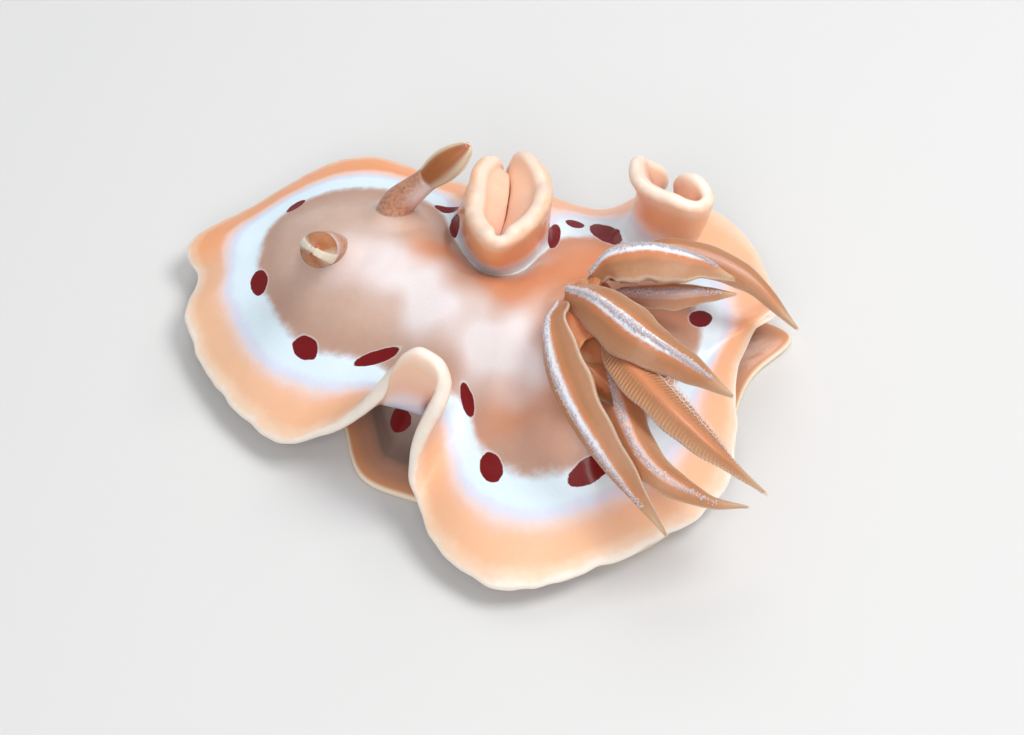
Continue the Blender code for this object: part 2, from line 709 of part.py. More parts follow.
def make_mound(tree, name, place, radius, height, colour, sides=16):
    """A low collar that lies on the back."""
    spot, normal = ground(tree, *place)
    if normal.z < 0:
        normal = -normal
    # Share of the radius, then height over the gap
    profile = (
        (0.35, 0),
        (0.7, 0),
        (1, 0),
        (1, 0.3 * height),
        (0.9, 0.85 * height),
        (0.7, height),
        (0.35, height),
    )
    rings = []
    for share, lift in profile:
        ring = []
        for k in range(sides):
            angle = 2 * math.pi * k / sides
            x = place[0] + radius * share * math.cos(angle)
            y = place[1] + radius * share * math.sin(angle)
            under, _ = ground(tree, x, y)
            ring.append((x, y, under.z + GAP + lift))
        rings.append(ring)
    points, faces = tube(rings)
    add_node(name, points, faces, colour)
    return spot, normal


def matched(rings):
    """Rings turned about so that the first point of each lies nearest that of the ring before."""
    found = [np.asarray(rings[0])]
    for ring in rings[1:]:
        ring = np.asarray(ring)
        ways = [np.roll(ring, -k, axis=0) for k in range(len(ring))]
        apart = [np.linalg.norm(way - found[-1], axis=1).sum() for way in ways]
        found.append(ways[int(np.argmin(apart))])
    return np.array(found)


def make_horn(tree, side, place, axis):
    """A feeler: sheath, stalk and leaved club."""
    name = "rhinophore_sheath_" + side
    spot, normal = make_mound(tree, name, place, SHEATH_RADIUS, SHEATH_HEIGHT, FLESH)
    axis = Vector(axis).normalized()
    start = Vector(spot) + normal * (SHEATH_HEIGHT + STALK_GAP)
    rings = []
    middle = start
    for lift, radius, lean in STALK:
        way = (normal * (1 - lean) + axis * lean).normalized()
        middle = middle + way * lift
        rings.append(turned(middle, way, ((0, radius),), HORN_SIDES)[0])
    points, faces = tube(matched(rings))
    add_node("rhinophore_stalk_" + side, points, faces, RUST)
    base = middle + axis * GAP
    length = HORN_LENGTH * (1 - STALK_SHARE) - GAP
    profile = []
    step = CLUB_LEAVED / HORN_LEAVES
    for k in range(HORN_LEAVES):
        low = k * step
        swell = CLUB_BODY + CLUB_SWELL * math.sin(math.pi * min(low * 1.2, 1.0))
        body = HORN_RADIUS * swell * (1 - CLUB_TAPER * low**2)
        profile.append((low * length, body * CLUB_GROOVE))
        profile.append(((low + 0.5 * step) * length, body))
    profile += [(share * length, HORN_RADIUS * radius) for share, radius in CLUB_TIP]
    points, faces = tube(turned(base, axis, profile, HORN_SIDES))
    add_node("rhinophore_club_" + side, points, faces, RUST)


def open_line(points, count):
    """Points at equal steps along a smooth open line."""
    points = np.asarray(points, float)
    padded = np.vstack([2 * points[0] - points[1], points, 2 * points[-1] - points[-2]])
    fine = []
    for k in range(1, len(padded) - 2):
        p0, p1, p2, p3 = padded[k - 1 : k + 3]
        for t in np.linspace(0, 1, 24, endpoint=False):
            bend = (2 * p0 - 5 * p1 + 4 * p2 - p3) * t**2 + (3 * p1 - p0 - 3 * p2 + p3) * t**3
            fine.append(0.5 * (2 * p1 + (p2 - p0) * t + bend))
    fine.append(padded[-2])
    fine = np.array(fine)
    reach = np.concatenate([[0.0], np.cumsum(np.linalg.norm(np.diff(fine, axis=0), axis=1))])
    spots = np.linspace(0, reach[-1], count)
    return np.column_stack([np.interp(spots, reach, fine[:, k]) for k in range(3)])


def leaf_width(t, widest):
    """Half width of a gill leaf along its length, root and tip narrow."""
    return widest * (0.2 + 0.8 * np.sin(math.pi * np.clip(t, 0, 1) ** 0.8) ** 0.8) * (1 - 0.5 * t**4)


def leaf_frames(line, count, facing):
    """Points along a leaf's ridge with the directions ahead, out of the leaf's back and to its side."""
    path = open_line(line, count)
    ahead = np.gradient(path, axis=0)
    ahead /= np.linalg.norm(ahead, axis=1, keepdims=True)
    up = np.array(facing, float)
    lift = up - ahead * (ahead @ up)[:, None]
    lift /= np.linalg.norm(lift, axis=1, keepdims=True)
    return path, ahead, lift, np.cross(ahead, lift)


def leaf_core(line, widest, facing):
    """The leaf's fleshy middle, a low roof along the ridge."""
    path, _, lift, side = leaf_frames(line, GILL_STATIONS, facing)
    rings = []
    for k, point in enumerate(path):
        t = k / (GILL_STATIONS - 1)
        wide = leaf_width(t, widest) * (GILL_CORE + (1 - GILL_CORE) * smooth((t - 0.85) / 0.15))
        thick = GILL_BLADE * (1 - 0.35 * t**3)
        wing = GILL_SLOPE * wide
        rings.append((
            point - side[k] * wide - lift[k] * wing,
            point,
            point + side[k] * wide - lift[k] * wing,
            point + side[k] * wide * GILL_UNDER - lift[k] * (wing + thick),
            point - lift[k] * thick * GILL_KEEL,
            point - side[k] * wide * GILL_UNDER - lift[k] * (wing + thick),
        ))
    return tube(rings)


def leaf_vanes(line, widest, facing):
    """The small side plates of a leaf, rooted in its middle and swept toward its tip."""
    length = np.linalg.norm(np.diff(open_line(line, 40), axis=0), axis=1).sum()
    number = int(length / VANE_STEP)
    path, ahead, lift, side = leaf_frames(line, number, facing)
    shapes = []
    for k in range(1, number - 1):
        wide = leaf_width(k / (number - 1), widest)
        if wide < VANE_LEAST_WIDTH:
            continue
        for sign in (-1, 1):
            rings = []
            for share, narrow in VANE_SHARES:
                top = path[k] + side[k] * sign * share * wide
                top = top + ahead[k] * VANE_SWEEP * (share - VANE_ROOT) * wide
                top = top - lift[k] * (GILL_SLOPE * share * wide + VANE_SINK)
                low = top - lift[k] * VANE_THICKNESS * (1.2 - 0.4 * share)
                half = ahead[k] * VANE_BREADTH * narrow / 2
                rings.append((top - half, top + half, low + half, low - half))
            shapes.append(tube(rings))
    return shapes


def fuse(name, base, shapes, colour):
    """A base and the pieces rooted in it, joined into one closed body."""
    whole = add_node(name, *base, colour)
    group = bpy.data.collections.new(name + "_pieces")
    bpy.context.scene.collection.children.link(group)
    for k, shape in enumerate(shapes):
        piece = add_node(f"{name}_piece_{k}", *shape, colour)
        bpy.context.scene.collection.objects.unlink(piece)
        group.objects.link(piece)
    union = whole.modifiers.new("union", "BOOLEAN")
    union.operation = "UNION"
    union.operand_type = "COLLECTION"
    union.collection = group
    union.solver = "EXACT"
    union.use_self = True
    graph = bpy.context.evaluated_depsgraph_get()
    made = bpy.data.meshes.new_from_object(whole.evaluated_get(graph))
    whole.modifiers.clear()
    whole.data = largest(made)
    for piece in list(group.objects):
        bpy.data.objects.remove(piece, do_unlink=True)
    bpy.data.collections.remove(group)
    return whole


def largest(mesh):
    """The mesh with only its largest closed surface, in triangles, with no slivers at the joints."""
    shape = bmesh.new()
    shape.from_mesh(mesh)
    bmesh.ops.remove_doubles(shape, verts=shape.verts, dist=MERGE * MM)
    bmesh.ops.triangulate(shape, faces=shape.faces)
    bmesh.ops.dissolve_degenerate(shape, edges=shape.edges, dist=MERGE * MM)
    bmesh.ops.triangulate(shape, faces=shape.faces)
    waiting = set(shape.verts)
    islands = []
    while waiting:
        island = {waiting.pop()}
        edge = list(island)
        while edge:
            vertex = edge.pop()
            for link in vertex.link_edges:
                other = link.other_vert(vertex)
                if other not in island:
                    island.add(other)
                    edge.append(other)
        waiting -= island
        islands.append(island)
    islands.sort(key=len)
    spare = [vertex for island in islands[:-1] for vertex in island]
    bmesh.ops.delete(shape, geom=spare, context="VERTS")
    shape.to_mesh(mesh)
    shape.free()
    return mesh


def make_leaf(name, line, widest, facing):
    fuse(name, leaf_core(line, widest, facing), leaf_vanes(line, widest, facing), RUST)


def make_gills(tree):
    size = (GILL_POCKET_RADIUS, GILL_POCKET_HEIGHT)
    spot, normal = make_mound(tree, "gill_pocket", GILL_PLACE, *size, FLESH, 20)
    start = spot + normal * (GILL_POCKET_HEIGHT + 2 * GAP)
    top = (GILL_STEM_HEIGHT, 0.6 * GILL_STEM_RADIUS)
    stem = ((0, GILL_STEM_RADIUS), (0.6 * GILL_STEM_HEIGHT, GILL_STEM_RADIUS), top)
    points, faces = tube(turned(start, (0, 0, 1), stem, 14))
    add_node("gill_stem", points, faces, RUST)
    for name, widest, facing, line in GILLS:
        make_leaf(name, line, widest, facing)


def make_head():
    """The snout with its two mouth feelers, under the front of the mantle."""
    rings = []
    for k in range(SNOUT_RINGS):
        angle = math.pi * (k + 0.5) / SNOUT_RINGS
        ring = []
        for j in range(HORN_SIDES):
            turn = 2 * math.pi * j / HORN_SIDES
            x = SNOUT_PLACE[0] + SNOUT_SIZE[0] * math.sin(angle) * math.cos(turn)
            y = SNOUT_PLACE[1] + SNOUT_SIZE[1] * math.sin(angle) * math.sin(turn)
            ring.append((x, y, SNOUT_PLACE[2] + SNOUT_SIZE[2] * math.cos(angle)))
        rings.append(ring)
    points, faces = tube(rings)
    add_node("snout", points, faces, FLESH)
    for side, sign in (("left", 1), ("right", -1)):
        start = np.array(SNOUT_PLACE) + np.array(MOUTH_FEELER_PLACE) * (1, sign, 1)
        way = np.array(MOUTH_FEELER_WAY) * (1, sign, 1)
        points, faces = tube(turned(start, way, MOUTH_FEELER, 10))
        add_node("mouth_feeler_" + side, points, faces, FLESH)


def main():
    for thing in list(bpy.data.objects):
        bpy.data.objects.remove(thing, do_unlink=True)
    bpy.context.scene.unit_settings.system = "METRIC"
    bpy.context.scene.unit_settings.scale_length = 1.0
    make_foot()
    tree = make_back()
    make_skirt()
    make_head()
    make_horn(tree, "left", *HORN_LEFT)
    make_horn(tree, "right", *HORN_RIGHT)
    make_gills(tree)


main()
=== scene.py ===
"""Bloody glossodoris, the looks of a still model in life size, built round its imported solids.

Tables of places are in millimetres; meshes, lights and the camera are in metres.
"""

import math

import bmesh
import bpy
import numpy as np
from mathutils import Matrix, Vector, noise
from mathutils.bvhtree import BVHTree


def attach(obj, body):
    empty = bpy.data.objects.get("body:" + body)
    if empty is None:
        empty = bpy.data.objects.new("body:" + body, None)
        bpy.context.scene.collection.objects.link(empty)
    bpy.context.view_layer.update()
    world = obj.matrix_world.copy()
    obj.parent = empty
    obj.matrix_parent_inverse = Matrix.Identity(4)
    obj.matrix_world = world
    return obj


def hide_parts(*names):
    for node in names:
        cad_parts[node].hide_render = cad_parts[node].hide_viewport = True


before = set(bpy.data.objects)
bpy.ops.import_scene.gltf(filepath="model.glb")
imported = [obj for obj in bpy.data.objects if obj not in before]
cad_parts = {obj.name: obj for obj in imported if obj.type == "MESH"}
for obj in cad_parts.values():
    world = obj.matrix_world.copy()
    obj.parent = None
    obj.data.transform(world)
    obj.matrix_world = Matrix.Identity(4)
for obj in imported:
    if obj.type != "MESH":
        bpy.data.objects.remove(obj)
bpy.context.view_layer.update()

bl_info = {
    "name": "Bloody glossodoris",
    "version": (1, 0, 0),
    "blender": (4, 5, 0),
    "location": "View3D > Sidebar > Sea slug",
    "description": "Builds the skin, feelers, gills and stage of a life-size sea slug model",
    "category": "Add Mesh",
}

MM = 0.001
BODY = "root"

# Round the mantle, from the front corner over the animal's right to the rear and back along the left:
# where the skirt leaves the back, and where its rim runs
EDGE = (
    ("front corner", (20.9, -4.3, 5.5), (27.4, -3.5, 3.0)),
    ("front", (20.4, -7.1, 5.7), (24.6, -8.4, 3.3)),
    ("front right", (18.1, -9.8, 6.2), (20.8, -13.4, 3.9)),
    ("right lobe", (13.9, -12.0, 6.4), (15.0, -17.3, 4.0)),
    ("right lobe end", (10.0, -12.0, 6.5), (9.4, -17.0, 3.5)),
    ("right fold foot", (8.3, -11.3, 6.7), (6.5, -16.8, 3.9)),
    ("right fold cleft", (7.4, -10.6, 6.7), (4.8, -15.0, 6.6)),
    ("right fold tip", (6.7, -9.8, 6.9), (4.3, -14.4, 9.8)),
    ("right fold shoulder", (6.1, -8.9, 7.1), (4.9, -12.2, 11.6)),
    ("right fold arm", (4.9, -7.2, 7.5), (4.4, -8.6, 12.5)),
    ("right fold turn", (3.3, -5.3, 8.1), (2.9, -4.1, 13.9)),
    ("right fold crest", (1.2, -4.0, 8.5), (-0.35, -1.6, 14.95)),
    ("right fold far turn", (-0.8, -4.9, 8.3), (-2.4, -4.7, 14.3)),
    ("right fold far arm", (-1.9, -7.2, 7.9), (-2.6, -8.9, 13.1)),
    ("right fold far shoulder", (-2.4, -8.8, 7.5), (-1.6, -12.0, 12.0)),
    ("right fold far tip", (-2.7, -9.8, 7.3), (1.3, -14.9, 10.9)),
    ("right fold far cleft", (-3.0, -10.5, 7.1), (2.3, -15.4, 8.2)),
    ("right fold far foot", (-3.5, -11.2, 6.9), (1.2, -16.9, 5.0)),
    ("trough", (-4.3, -11.6, 6.9), (-1.8, -17.8, 3.1)),
    ("trough end", (-5.3, -12.0, 6.9), (-5.0, -18.5, 2.8)),
    ("rear fold foot", (-6.3, -12.1, 6.9), (-7.6, -19.2, 5.0)),
    ("rear fold tip", (-7.0, -12.0, 7.0), (-8.8, -17.6, 9.6)),
    ("rear fold shoulder", (-7.7, -11.7, 7.0), (-7.3, -16.6, 11.7)),
    ("rear fold arm", (-8.6, -11.1, 7.0), (-7.7, -13.8, 12.2)),
    ("rear fold crest", (-10.3, -10.0, 7.0), (-10.8, -11.4, 12.9)),
    ("rear fold turn", (-11.7, -9.3, 6.8), (-13.9, -11.9, 12.4)),
    ("rear fold far arm", (-12.5, -8.9, 6.8), (-14.6, -14.1, 12.0)),
    ("rear fold hook", (-13.3, -8.6, 6.7), (-12.7, -16.1, 11.4)),
    ("rear fold hook end", (-14.1, -8.1, 6.6), (-11.5, -17.9, 8.2)),
    ("rear right lobe foot", (-14.7, -7.6, 6.5), (-13.4, -19.6, 4.4)),
    ("rear right lobe", (-15.4, -6.6, 6.4), (-17.6, -18.1, 2.5)),
    ("rear right lobe end", (-16.0, -5.5, 6.4), (-20.0, -14.3, 2.6)),
    ("ridge", (-16.5, -3.4, 6.2), (-20.8, -8.2, 6.6)),
    ("ridge end", (-16.1, -0.7, 6.0), (-19.5, -4.2, 4.2)),
    ("rear", (-14.7, 2.7, 6.0), (-21.0, 2.0, 2.7)),
    ("rear left", (-13.7, 7.0, 6.0), (-20.3, 8.7, 2.5)),
    ("rear left lobe", (-10.4, 11.1, 6.0), (-15.2, 14.8, 2.5)),
    ("rear left lobe tip", (-6.2, 12.7, 6.0), (-8.2, 19.9, 2.5)),
    ("rear left lobe end", (-3.0, 11.6, 6.1), (-2.0, 18.5, 2.6)),
    ("left fold foot", (-1.5, 9.4, 6.3), (1.2, 14.5, 4.6)),
    ("left fold arm", (-0.2, 7.8, 6.5), (0.4, 12.7, 9.8)),
    ("left fold turn", (1.3, 7.3, 6.7), (-0.3, 10.3, 13.3)),
    ("left fold crest", (3.1, 7.4, 6.8), (2.2, 9.1, 14.0)),
    ("left fold far arm", (5.3, 7.0, 6.6), (5.2, 9.9, 10.8)),
    ("left fold far foot", (7.3, 6.0, 6.4), (8.6, 11.1, 5.7)),
    ("left lobe start", (9.6, 5.7, 6.2), (13.0, 12.2, 2.9)),
    ("left lobe", (13.4, 5.7, 5.9), (17.7, 10.4, 2.5)),
    ("left lobe end", (17.1, 3.0, 5.6), (22.4, 6.3, 2.6)),
    ("front left", (19.7, 0.0, 5.5), (25.2, 1.9, 2.9)),
    ("front dent", (20.6, -2.4, 5.5), (25.7, -1.7, 2.8)),
)
# How much of the way round the edge is measured along the skirt's root; the rest is measured along its rim
ROOT_SHARE = 0.25
# The skirt's thickness at its root, and its least thickness
MANTLE_ROOT = 1.4
MANTLE_LEAST = 0.5
# How far the skirt bulges: outward and down in a standing fold, upward in a hanging lobe
FOLD_BELLY = 0.2
RIGHT_FOLD_PINCH = -0.19
RIGHT_FOLD_BLEND = 4.0
FOLD_SAG = 0.08
LOBE_CROWN = 0.10
# Near its root the skirt's under face lies straight below the upper one, up to this share across
ROOT_TURN = 0.25
# Steps along the edge and across the skirt from which its slopes are measured
LINE_STEP = 0.05
FACE_STEPS = (0.02, 0.005)
# In a bend the skirt thins to this share of the bend's radius, which is taken over a stretch of the edge
FOLD_SLACK = 0.62
BEND_SHIFTS = (-1.0, -0.5, 0.0, 0.5, 1.0)
BEND_STEP = 0.1
THINNING_POWER = 4
# How much thicker the skirt is in its standing folds, and the share across where it is so in full
FOLD_PAD_RAMP = 0.6
FOLD_PAD = (
    ("right fold foot", 0.0),
    ("right fold cleft", 0.15),
    ("right fold tip", 0.3),
    ("right fold shoulder", 0.7),
    ("right fold arm", 0.75),
    ("right fold turn", 0.65),
    ("right fold crest", 0.6),
    ("right fold far turn", 0.65),
    ("right fold far arm", 0.75),
    ("right fold far shoulder", 0.7),
    ("right fold far tip", 0.3),
    ("right fold far cleft", 0.15),
    ("right fold far foot", 0.0),
    ("rear fold foot", 0.0),
    ("rear fold shoulder", 0.35),
    ("rear fold crest", 0.45),
    ("rear fold turn", 0.5),
    ("rear fold hook", 0.4),
    ("rear fold hook end", 0.2),
    ("rear right lobe", 0.0),
    ("left fold foot", 0.0),
    ("left fold turn", 0.4),
    ("left fold crest", 0.45),
    ("left fold far foot", 0.0),
)
# The right fold's two inner faces draw together from the first of these stations to the last: how closely,
# over what share of the skirt from the rim inward, and how much sooner at the fold's ends than at its crest
CLOSED_FOLD = ("right fold cleft", "right fold far cleft")
FOLD_CLOSE = 0.97
FOLD_FUNNEL = 0.45
FOLD_SEAM = 0.7

# Rows of points over the back, round the lip and down the wall, and how the skirt's rows crowd to its rim
BACK_ROWS = 27
LIP_ROWS = 7
WALL_ROWS = 9
ROW_CROWDING = 0.9
# Shares across the skirt from which the rim's own direction is taken, for its scallops and for its round lip
SCALLOP_SHARE = 0.9
LIP_SHARE = 0.96
LIP_BULGE = 0.9
# How far beyond the rim's colour the lip's own goes: partly the cream margin, partly a painted highlight
# along the middle of the rolled lip
LIP_CREAM_AND_HIGHLIGHT = 0.09
# How many rows each side of the skirt's root are evened against their neighbours, and how often: above, below
UPPER_BLEND = (6, 10)
LOWER_BLEND = (5, 12)

# The middle line of the back, and how a point of the edge finds its own point on it
SPINE_FRONT = (14.5, -3.6)
SPINE_REAR = (-10.5, 0.2)
SPINE_HEIGHTS = ((-10.5, 9.2), (-8.0, 9.9), (0.0, 10.6), (8.0, 9.9), (14.5, 8.9))
SPINE_SCALE = 0.8
SPINE_SHIFT = 0.5
SPINE_STEP = 0.25
# The wall from the skirt's root down to the foot: its inset and drop at the top, the height of its lower end,
# its longest reach and how far it draws in between
WALL_INSET = 1.05
WALL_DROP = 0.15
WALL_FOOT = 1.9
WALL_REACH = 6.0
WALL_HOLLOW = 0.15

# Outline of the foot, from the front over the right to the tail and back along the left
FOOT = (
    (19.4, -3.6),
    (17.2, -7.4),
    (11.6, -9.2),
    (3.6, -9.8),
    (-5.0, -10.2),
    (-13.0, -11.2),
    (-19.0, -12.2),
    (-22.6, -11.2),
    (-21.0, -7.4),
    (-20.2, -1.6),
    (-19.6, 5.0),
    (-17.6, 11.2),
    (-13.2, 14.8),
    (-6.0, 14.4),
    (2.6, 13.4),
    (6.6, 12.6),
    (9.4, 8.6),
    (14.4, 3.6),
    (18.2, 0.2),
)
# From the foot of the wall out over the foot's edge and under it: inset from the outline, height
FOOT_SECTION = (
    (3.1, 1.9),
    (2.6, 1.62),
    (2.0, 1.42),
    (1.5, 1.25),
    (0.9, 1.03),
    (0.45, 0.86),
    (0.18, 0.7),
    (0.04, 0.52),
    (0.0, 0.34),
    (0.08, 0.18),
    (0.25, 0.05),
    (0.5, 0.0),
    (1.2, 0.0),
    (2.4, 0.0),
)
SOLE_RINGS = (0.25, 0.5, 0.75, 0.94)
OUTLINE_POINTS = 256
# How quickly the foot's colours run from its upper edge to its outline
FOOT_COLOUR_REACH = 1.6

# Rhinophores: side, place on the back, axis of the club, the way its front line faces, the club's radius,
# half the width of the cream line, and where the cream behind begins
HORNS = (
    ("left", (13.9, -2.2), (-0.16, 0.66, 0.73), (0.92, -0.38, 0.0), 1.42, 0.38, 0.72),
    ("right", (10.5, -8.1), (-0.64, -0.28, 0.71), (1.0, 0.0, 0.0), 1.24, 0.18, 0.1),
)
MUZZLE_PLACE = (20.3, -4.0, 2.4)
MUZZLE_SIZE = (2.0, 2.3, 0.95)
MUZZLE_ROWS = 40
MUZZLE_COLUMNS = 48
# Half width, half height and thickness of the lips; half width and half height of the slit; how far the lips
# stand out and the slit lies in; all in parts of the muzzle's size
MUZZLE_LIPS = (0.3, 0.62, 0.35)
MUZZLE_SLIT = (0.07, 0.5)
MUZZLE_RELIEF = (0.1, 0.22)
# Reach and radius of a mouth feeler from root to tip, its way and its place from the muzzle's middle
MOUTH_FEELER = ((0.0, 0.52), (0.9, 0.46), (1.7, 0.34), (2.1, 0.2))
MOUTH_FEELER_WAY = (0.72, 0.62, -0.05)
MOUTH_FEELER_PLACE = (1.0, 2.4, -0.1)
MOUTH_FEELER_ROWS = 30
MOUTH_FEELER_COLUMNS = 24
# The club's length, how far it sinks into the stalk, the girth of its core under the leaves, and its points
CLUB_LENGTH = 5.08
CLUB_SINK = 0.35
CLUB_CORE = 0.93
CLUB_ROWS = 30
CLUB_COLUMNS = 28
# Height of a club leaf against the step from leaf to leaf, and how far its sides slope down and its front up
CLUB_LEAF_HEIGHT = 0.62
CLUB_LEAF_SLOPE = 2.2
CLUB_LEAF_TILT = 1.2
CLUB_LEAF_SECTION = ((0.6, -0.4), (0.95, -0.4), (1.0, 0.0), (0.95, 0.4), (0.6, 0.4))
# The cream line up the club: its points, its thickness, its widths behind and in front
KEEL_ROWS = 61
KEEL_COLUMNS = 8
KEEL_THICKNESS = 0.09
KEEL_WIDTHS = (0.9, 1.2)
KEEL_LIFT = 0.04
# How far on each ring of the stalk lies in millimetres, its radius, how far it has turned to the axis
STALK = (
    (0.0, 2.0, 0.0),
    (0.3, 1.72, 0.0),
    (0.3, 1.54, 0.1),
    (0.35, 1.44, 0.3),
    (0.4, 1.37, 0.55),
    (0.45, 1.3, 0.8),
    (0.5, 1.24, 1.0),
    (0.55, 1.17, 1.0),
    (0.6, 1.1, 1.0),
    (0.6, 1.04, 1.0),
    (0.6, 1.0, 1.0),
    (0.5, 0.97, 1.0),
)
STALK_START = -0.25
STALK_COLUMNS = 48
# The stalk's bluish side faces this way; rings before the first are speckled all round
STALK_PALE_WAY = (-0.7, 0.1, 0.3)
STALK_PALE_START = 5
# Low mounds round the feelers and the gills: radius, height and the dip in the middle
SHEATH_RADIUS = 2.1
SHEATH_HEIGHT = 0.5
SHEATH_DIP = 0.1
GILL_PLACE = (-7.9, -1.4)
GILL_POCKET_RADIUS = 3.1
GILL_POCKET_HEIGHT = 0.5
GILL_POCKET_DIP = 0.9
MOUND_EDGE = 0.9
MOUND_HOLLOW = (0.62, 0.3)
# Unevenness of the skin: height, size of its swells and seed; and the height over the floor where it starts
RELIEF = ((0.09, 3.4, 1), (0.03, 1.2, 2))
RELIEF_START = 1.0

# Gill leaves: name, widest half width, facing, then the line of the ridge from root to tip
GILLS = (
    ("1", 1.9, (0.1, -0.3, 1.0), (
        (-7.2, -3.4, 12.3), (-8.6, -4.4, 14.4), (-11.8, -5.2, 15.3), (-15.3, -5.8, 14.4),
        (-18.2, -5.8, 12.8))),
    ("2", 1.6, (0.1, 0.1, 1.0), (
        (-8.4, -4.0, 11.6), (-12.4, -7.2, 12.9), (-18.4, -7.9, 11.3), (-23.6, -5.9, 8.4))),
    ("3", 0.9, (0.0, 0.1, 1.0), (
        (-9.6, -2.7, 11.7), (-12.6, -3.3, 12.0), (-15.6, -4.3, 12.0), (-18.6, -5.2, 11.7))),
    ("4", 1.9, (0.2, 0.2, 1.0), (
        (-6.0, -1.2, 12.6), (-8.8, 0.9, 14.9), (-13.2, 3.3, 15.1), (-17.2, 3.6, 13.1),
        (-20.6, 3.6, 10.4))),
    ("5", 1.7, (0.8, 0.9, 0.9), (
        (-5.7, 0.2, 12.4), (-5.8, 3.9, 13.7), (-8.1, 8.5, 13.3), (-12.6, 12.6, 11.3),
        (-18.5, 14.9, 6.5))),
    ("6", 1.5, (0.2, 0.2, 1.0), (
        (-7.9, 0.6, 11.7), (-10.4, 3.8, 11.1), (-15.3, 11.1, 10.7), (-20.3, 12.4, 9.0),
        (-23.8, 10.9, 7.0))),
    ("7", 1.5, (0.3, -0.2, 1.0), (
        (-9.6, 0.4, 12.1), (-11.9, 4.1, 13.1), (-15.9, 7.1, 12.8), (-20.7, 9.1, 10.9),
        (-24.8, 9.8, 7.9))),
    ("8", 1.1, (0.1, 0.0, 1.0), (
        (-10.1, -0.9, 11.7), (-12.9, 0.7, 11.9), (-15.4, 1.4, 11.2), (-18.0, 1.5, 10.0))),
)

# How each leaf looks: frost on its ridge, step from rib to rib, kind of rib, depth of the groove on its
# ridge, and how wide its two wings are
LEAF_LOOKS = {
    "1": (1.0, 0.15, "rib", 0.0, (0.85, 1.65)),
    "2": (0.12, 0.16, "rib", 0.0, (1.0, 1.0)),
    "3": (0.3, 0.15, "rib", 0.0, (1.3, 1.5)),
    "4": (1.0, 0.15, "rib", 0.0, (1.0, 1.3)),
    "5": (0.85, 0.16, "rib", 0.0, (1.35, 0.75)),
    "6": (0.3, 0.2, "rib", 0.0, (1.2, 1.0)),
    "7": (0.0, 0.3, "pad", 0.06, (1.35, 1.15)),
    "8": (0.1, 0.2, "pad", 0.03, (1.0, 1.0)),
}
# The leaf with curled hairs along an edge, and where they start and end along it
CURLED_LEAF = "7"
CURL_REACH = (0.34, 0.8)
CURL_SIZE = 0.42
# Thickness of a leaf's blade, the number of its rings, and how its wings slope down from the ridge
GILL_BLADE = 0.6
LEAF_RINGS = 64
LEAF_SLOPE = 0.5
LEAF_CURVE = 1.25
LEAF_CORE = 0.97
# Ribs: how far they sweep to the tip, how much of the step each fills; kind, inner end and height
PLATE_SWEEP = 1.5
PLATE_FILL = 0.85
PLATE_KINDS = (("rib", 0.3, 0.014), ("pad", 0.16, 0.06))
# Steps along a leaf's line for things set on it one by one, and for the webs
LEAF_STEPS = 400
WEB_STEPS = 60
# Domes under the leaves' roots: middle and half sizes
HEARTS = (((-7.8, -1.2, 11.1), (2.0, 2.5, 1.4)), ((-8.8, 2.2, 10.9), (2.6, 2.8, 1.1)))
HEART_ROWS = 28
HEART_COLUMNS = 40
# Half width of the frosted line on a ridge, the least frost that has tufts, and their sizes
FROST_REACH = 0.42
FROST_LEAST = 0.2
TUFT_SIZES = (0.04, 0.08)
TUFT_STRETCH = (1.2, 2.6)
TUFT_HEIGHT = 0.4
# Webs between neighbouring leaves: leaf, share of its wing, side; the same of the next; reach and sag
WEBS = (
    (("4", 0.95, -1), ("5", 0.95, 1), 0.56, 0.6),
    (("4", 0.9, 1), ("1", 0.9, -1), 0.34, 0.4),
    (("5", 0.7, 1), ("6", 0.7, -1), 0.45, 0.3),
    (("6", 0.7, 1), ("7", 0.8, -1), 0.45, 0.3),
    (("7", 0.8, 1), ("4", 0.9, -1), 0.45, 0.5),
    (("1", 0.7, 1), ("2", 0.7, -1), 0.34, 0.3),
)
WEB_THICKNESS = 0.3
WEB_ROWS = 24
WEB_COLUMNS = 21
WEB_SCOOP = 0.45
WEB_SINK = 0.2

# Red spots where the skirt leaves the back: x, y, half length, half width, turn from +X in degrees
SPOTS = (
    (19.5, 0.0, 1.3, 0.72, 117),
    (13.5, 5.5, 1.25, 0.85, 150),
    (7.6, 5.3, 1.85, 0.55, 24),
    (-0.6, 7.4, 1.5, 0.46, 121),
    (-4.1, 12.4, 1.25, 0.85, 125),
    (-11.4, 10.4, 2.05, 0.88, 52),
    (-14.1, 6.0, 1.0, 0.66, 96),
    (-15.0, 1.8, 1.02, 0.7, 91),
    (-15.8, -6.2, 1.1, 0.8, 62),
    (-12.3, -8.7, 1.2, 0.7, 150),
    (-6.2, -12.3, 1.85, 0.95, 141),
    (-3.4, -13.0, 0.84, 0.55, 170),
    (-2.4, -10.4, 1.7, 0.5, 98),
    (5.6, -8.7, 1.2, 0.42, 111),
    (7.0, -11.0, 1.19, 0.43, 176),
    (19.3, -8.3, 0.97, 0.42, 55),
)
# One more on the wall under the left fold: x, y, z and radius
SPOT_BELOW = (4.85, 8.0, 3.0, 1.05)
# How far from the skirt's root a spot may reach, in shares of the skirt; the value far from all spots
SPOT_REACH = 0.4
NO_SPOT = -3.0

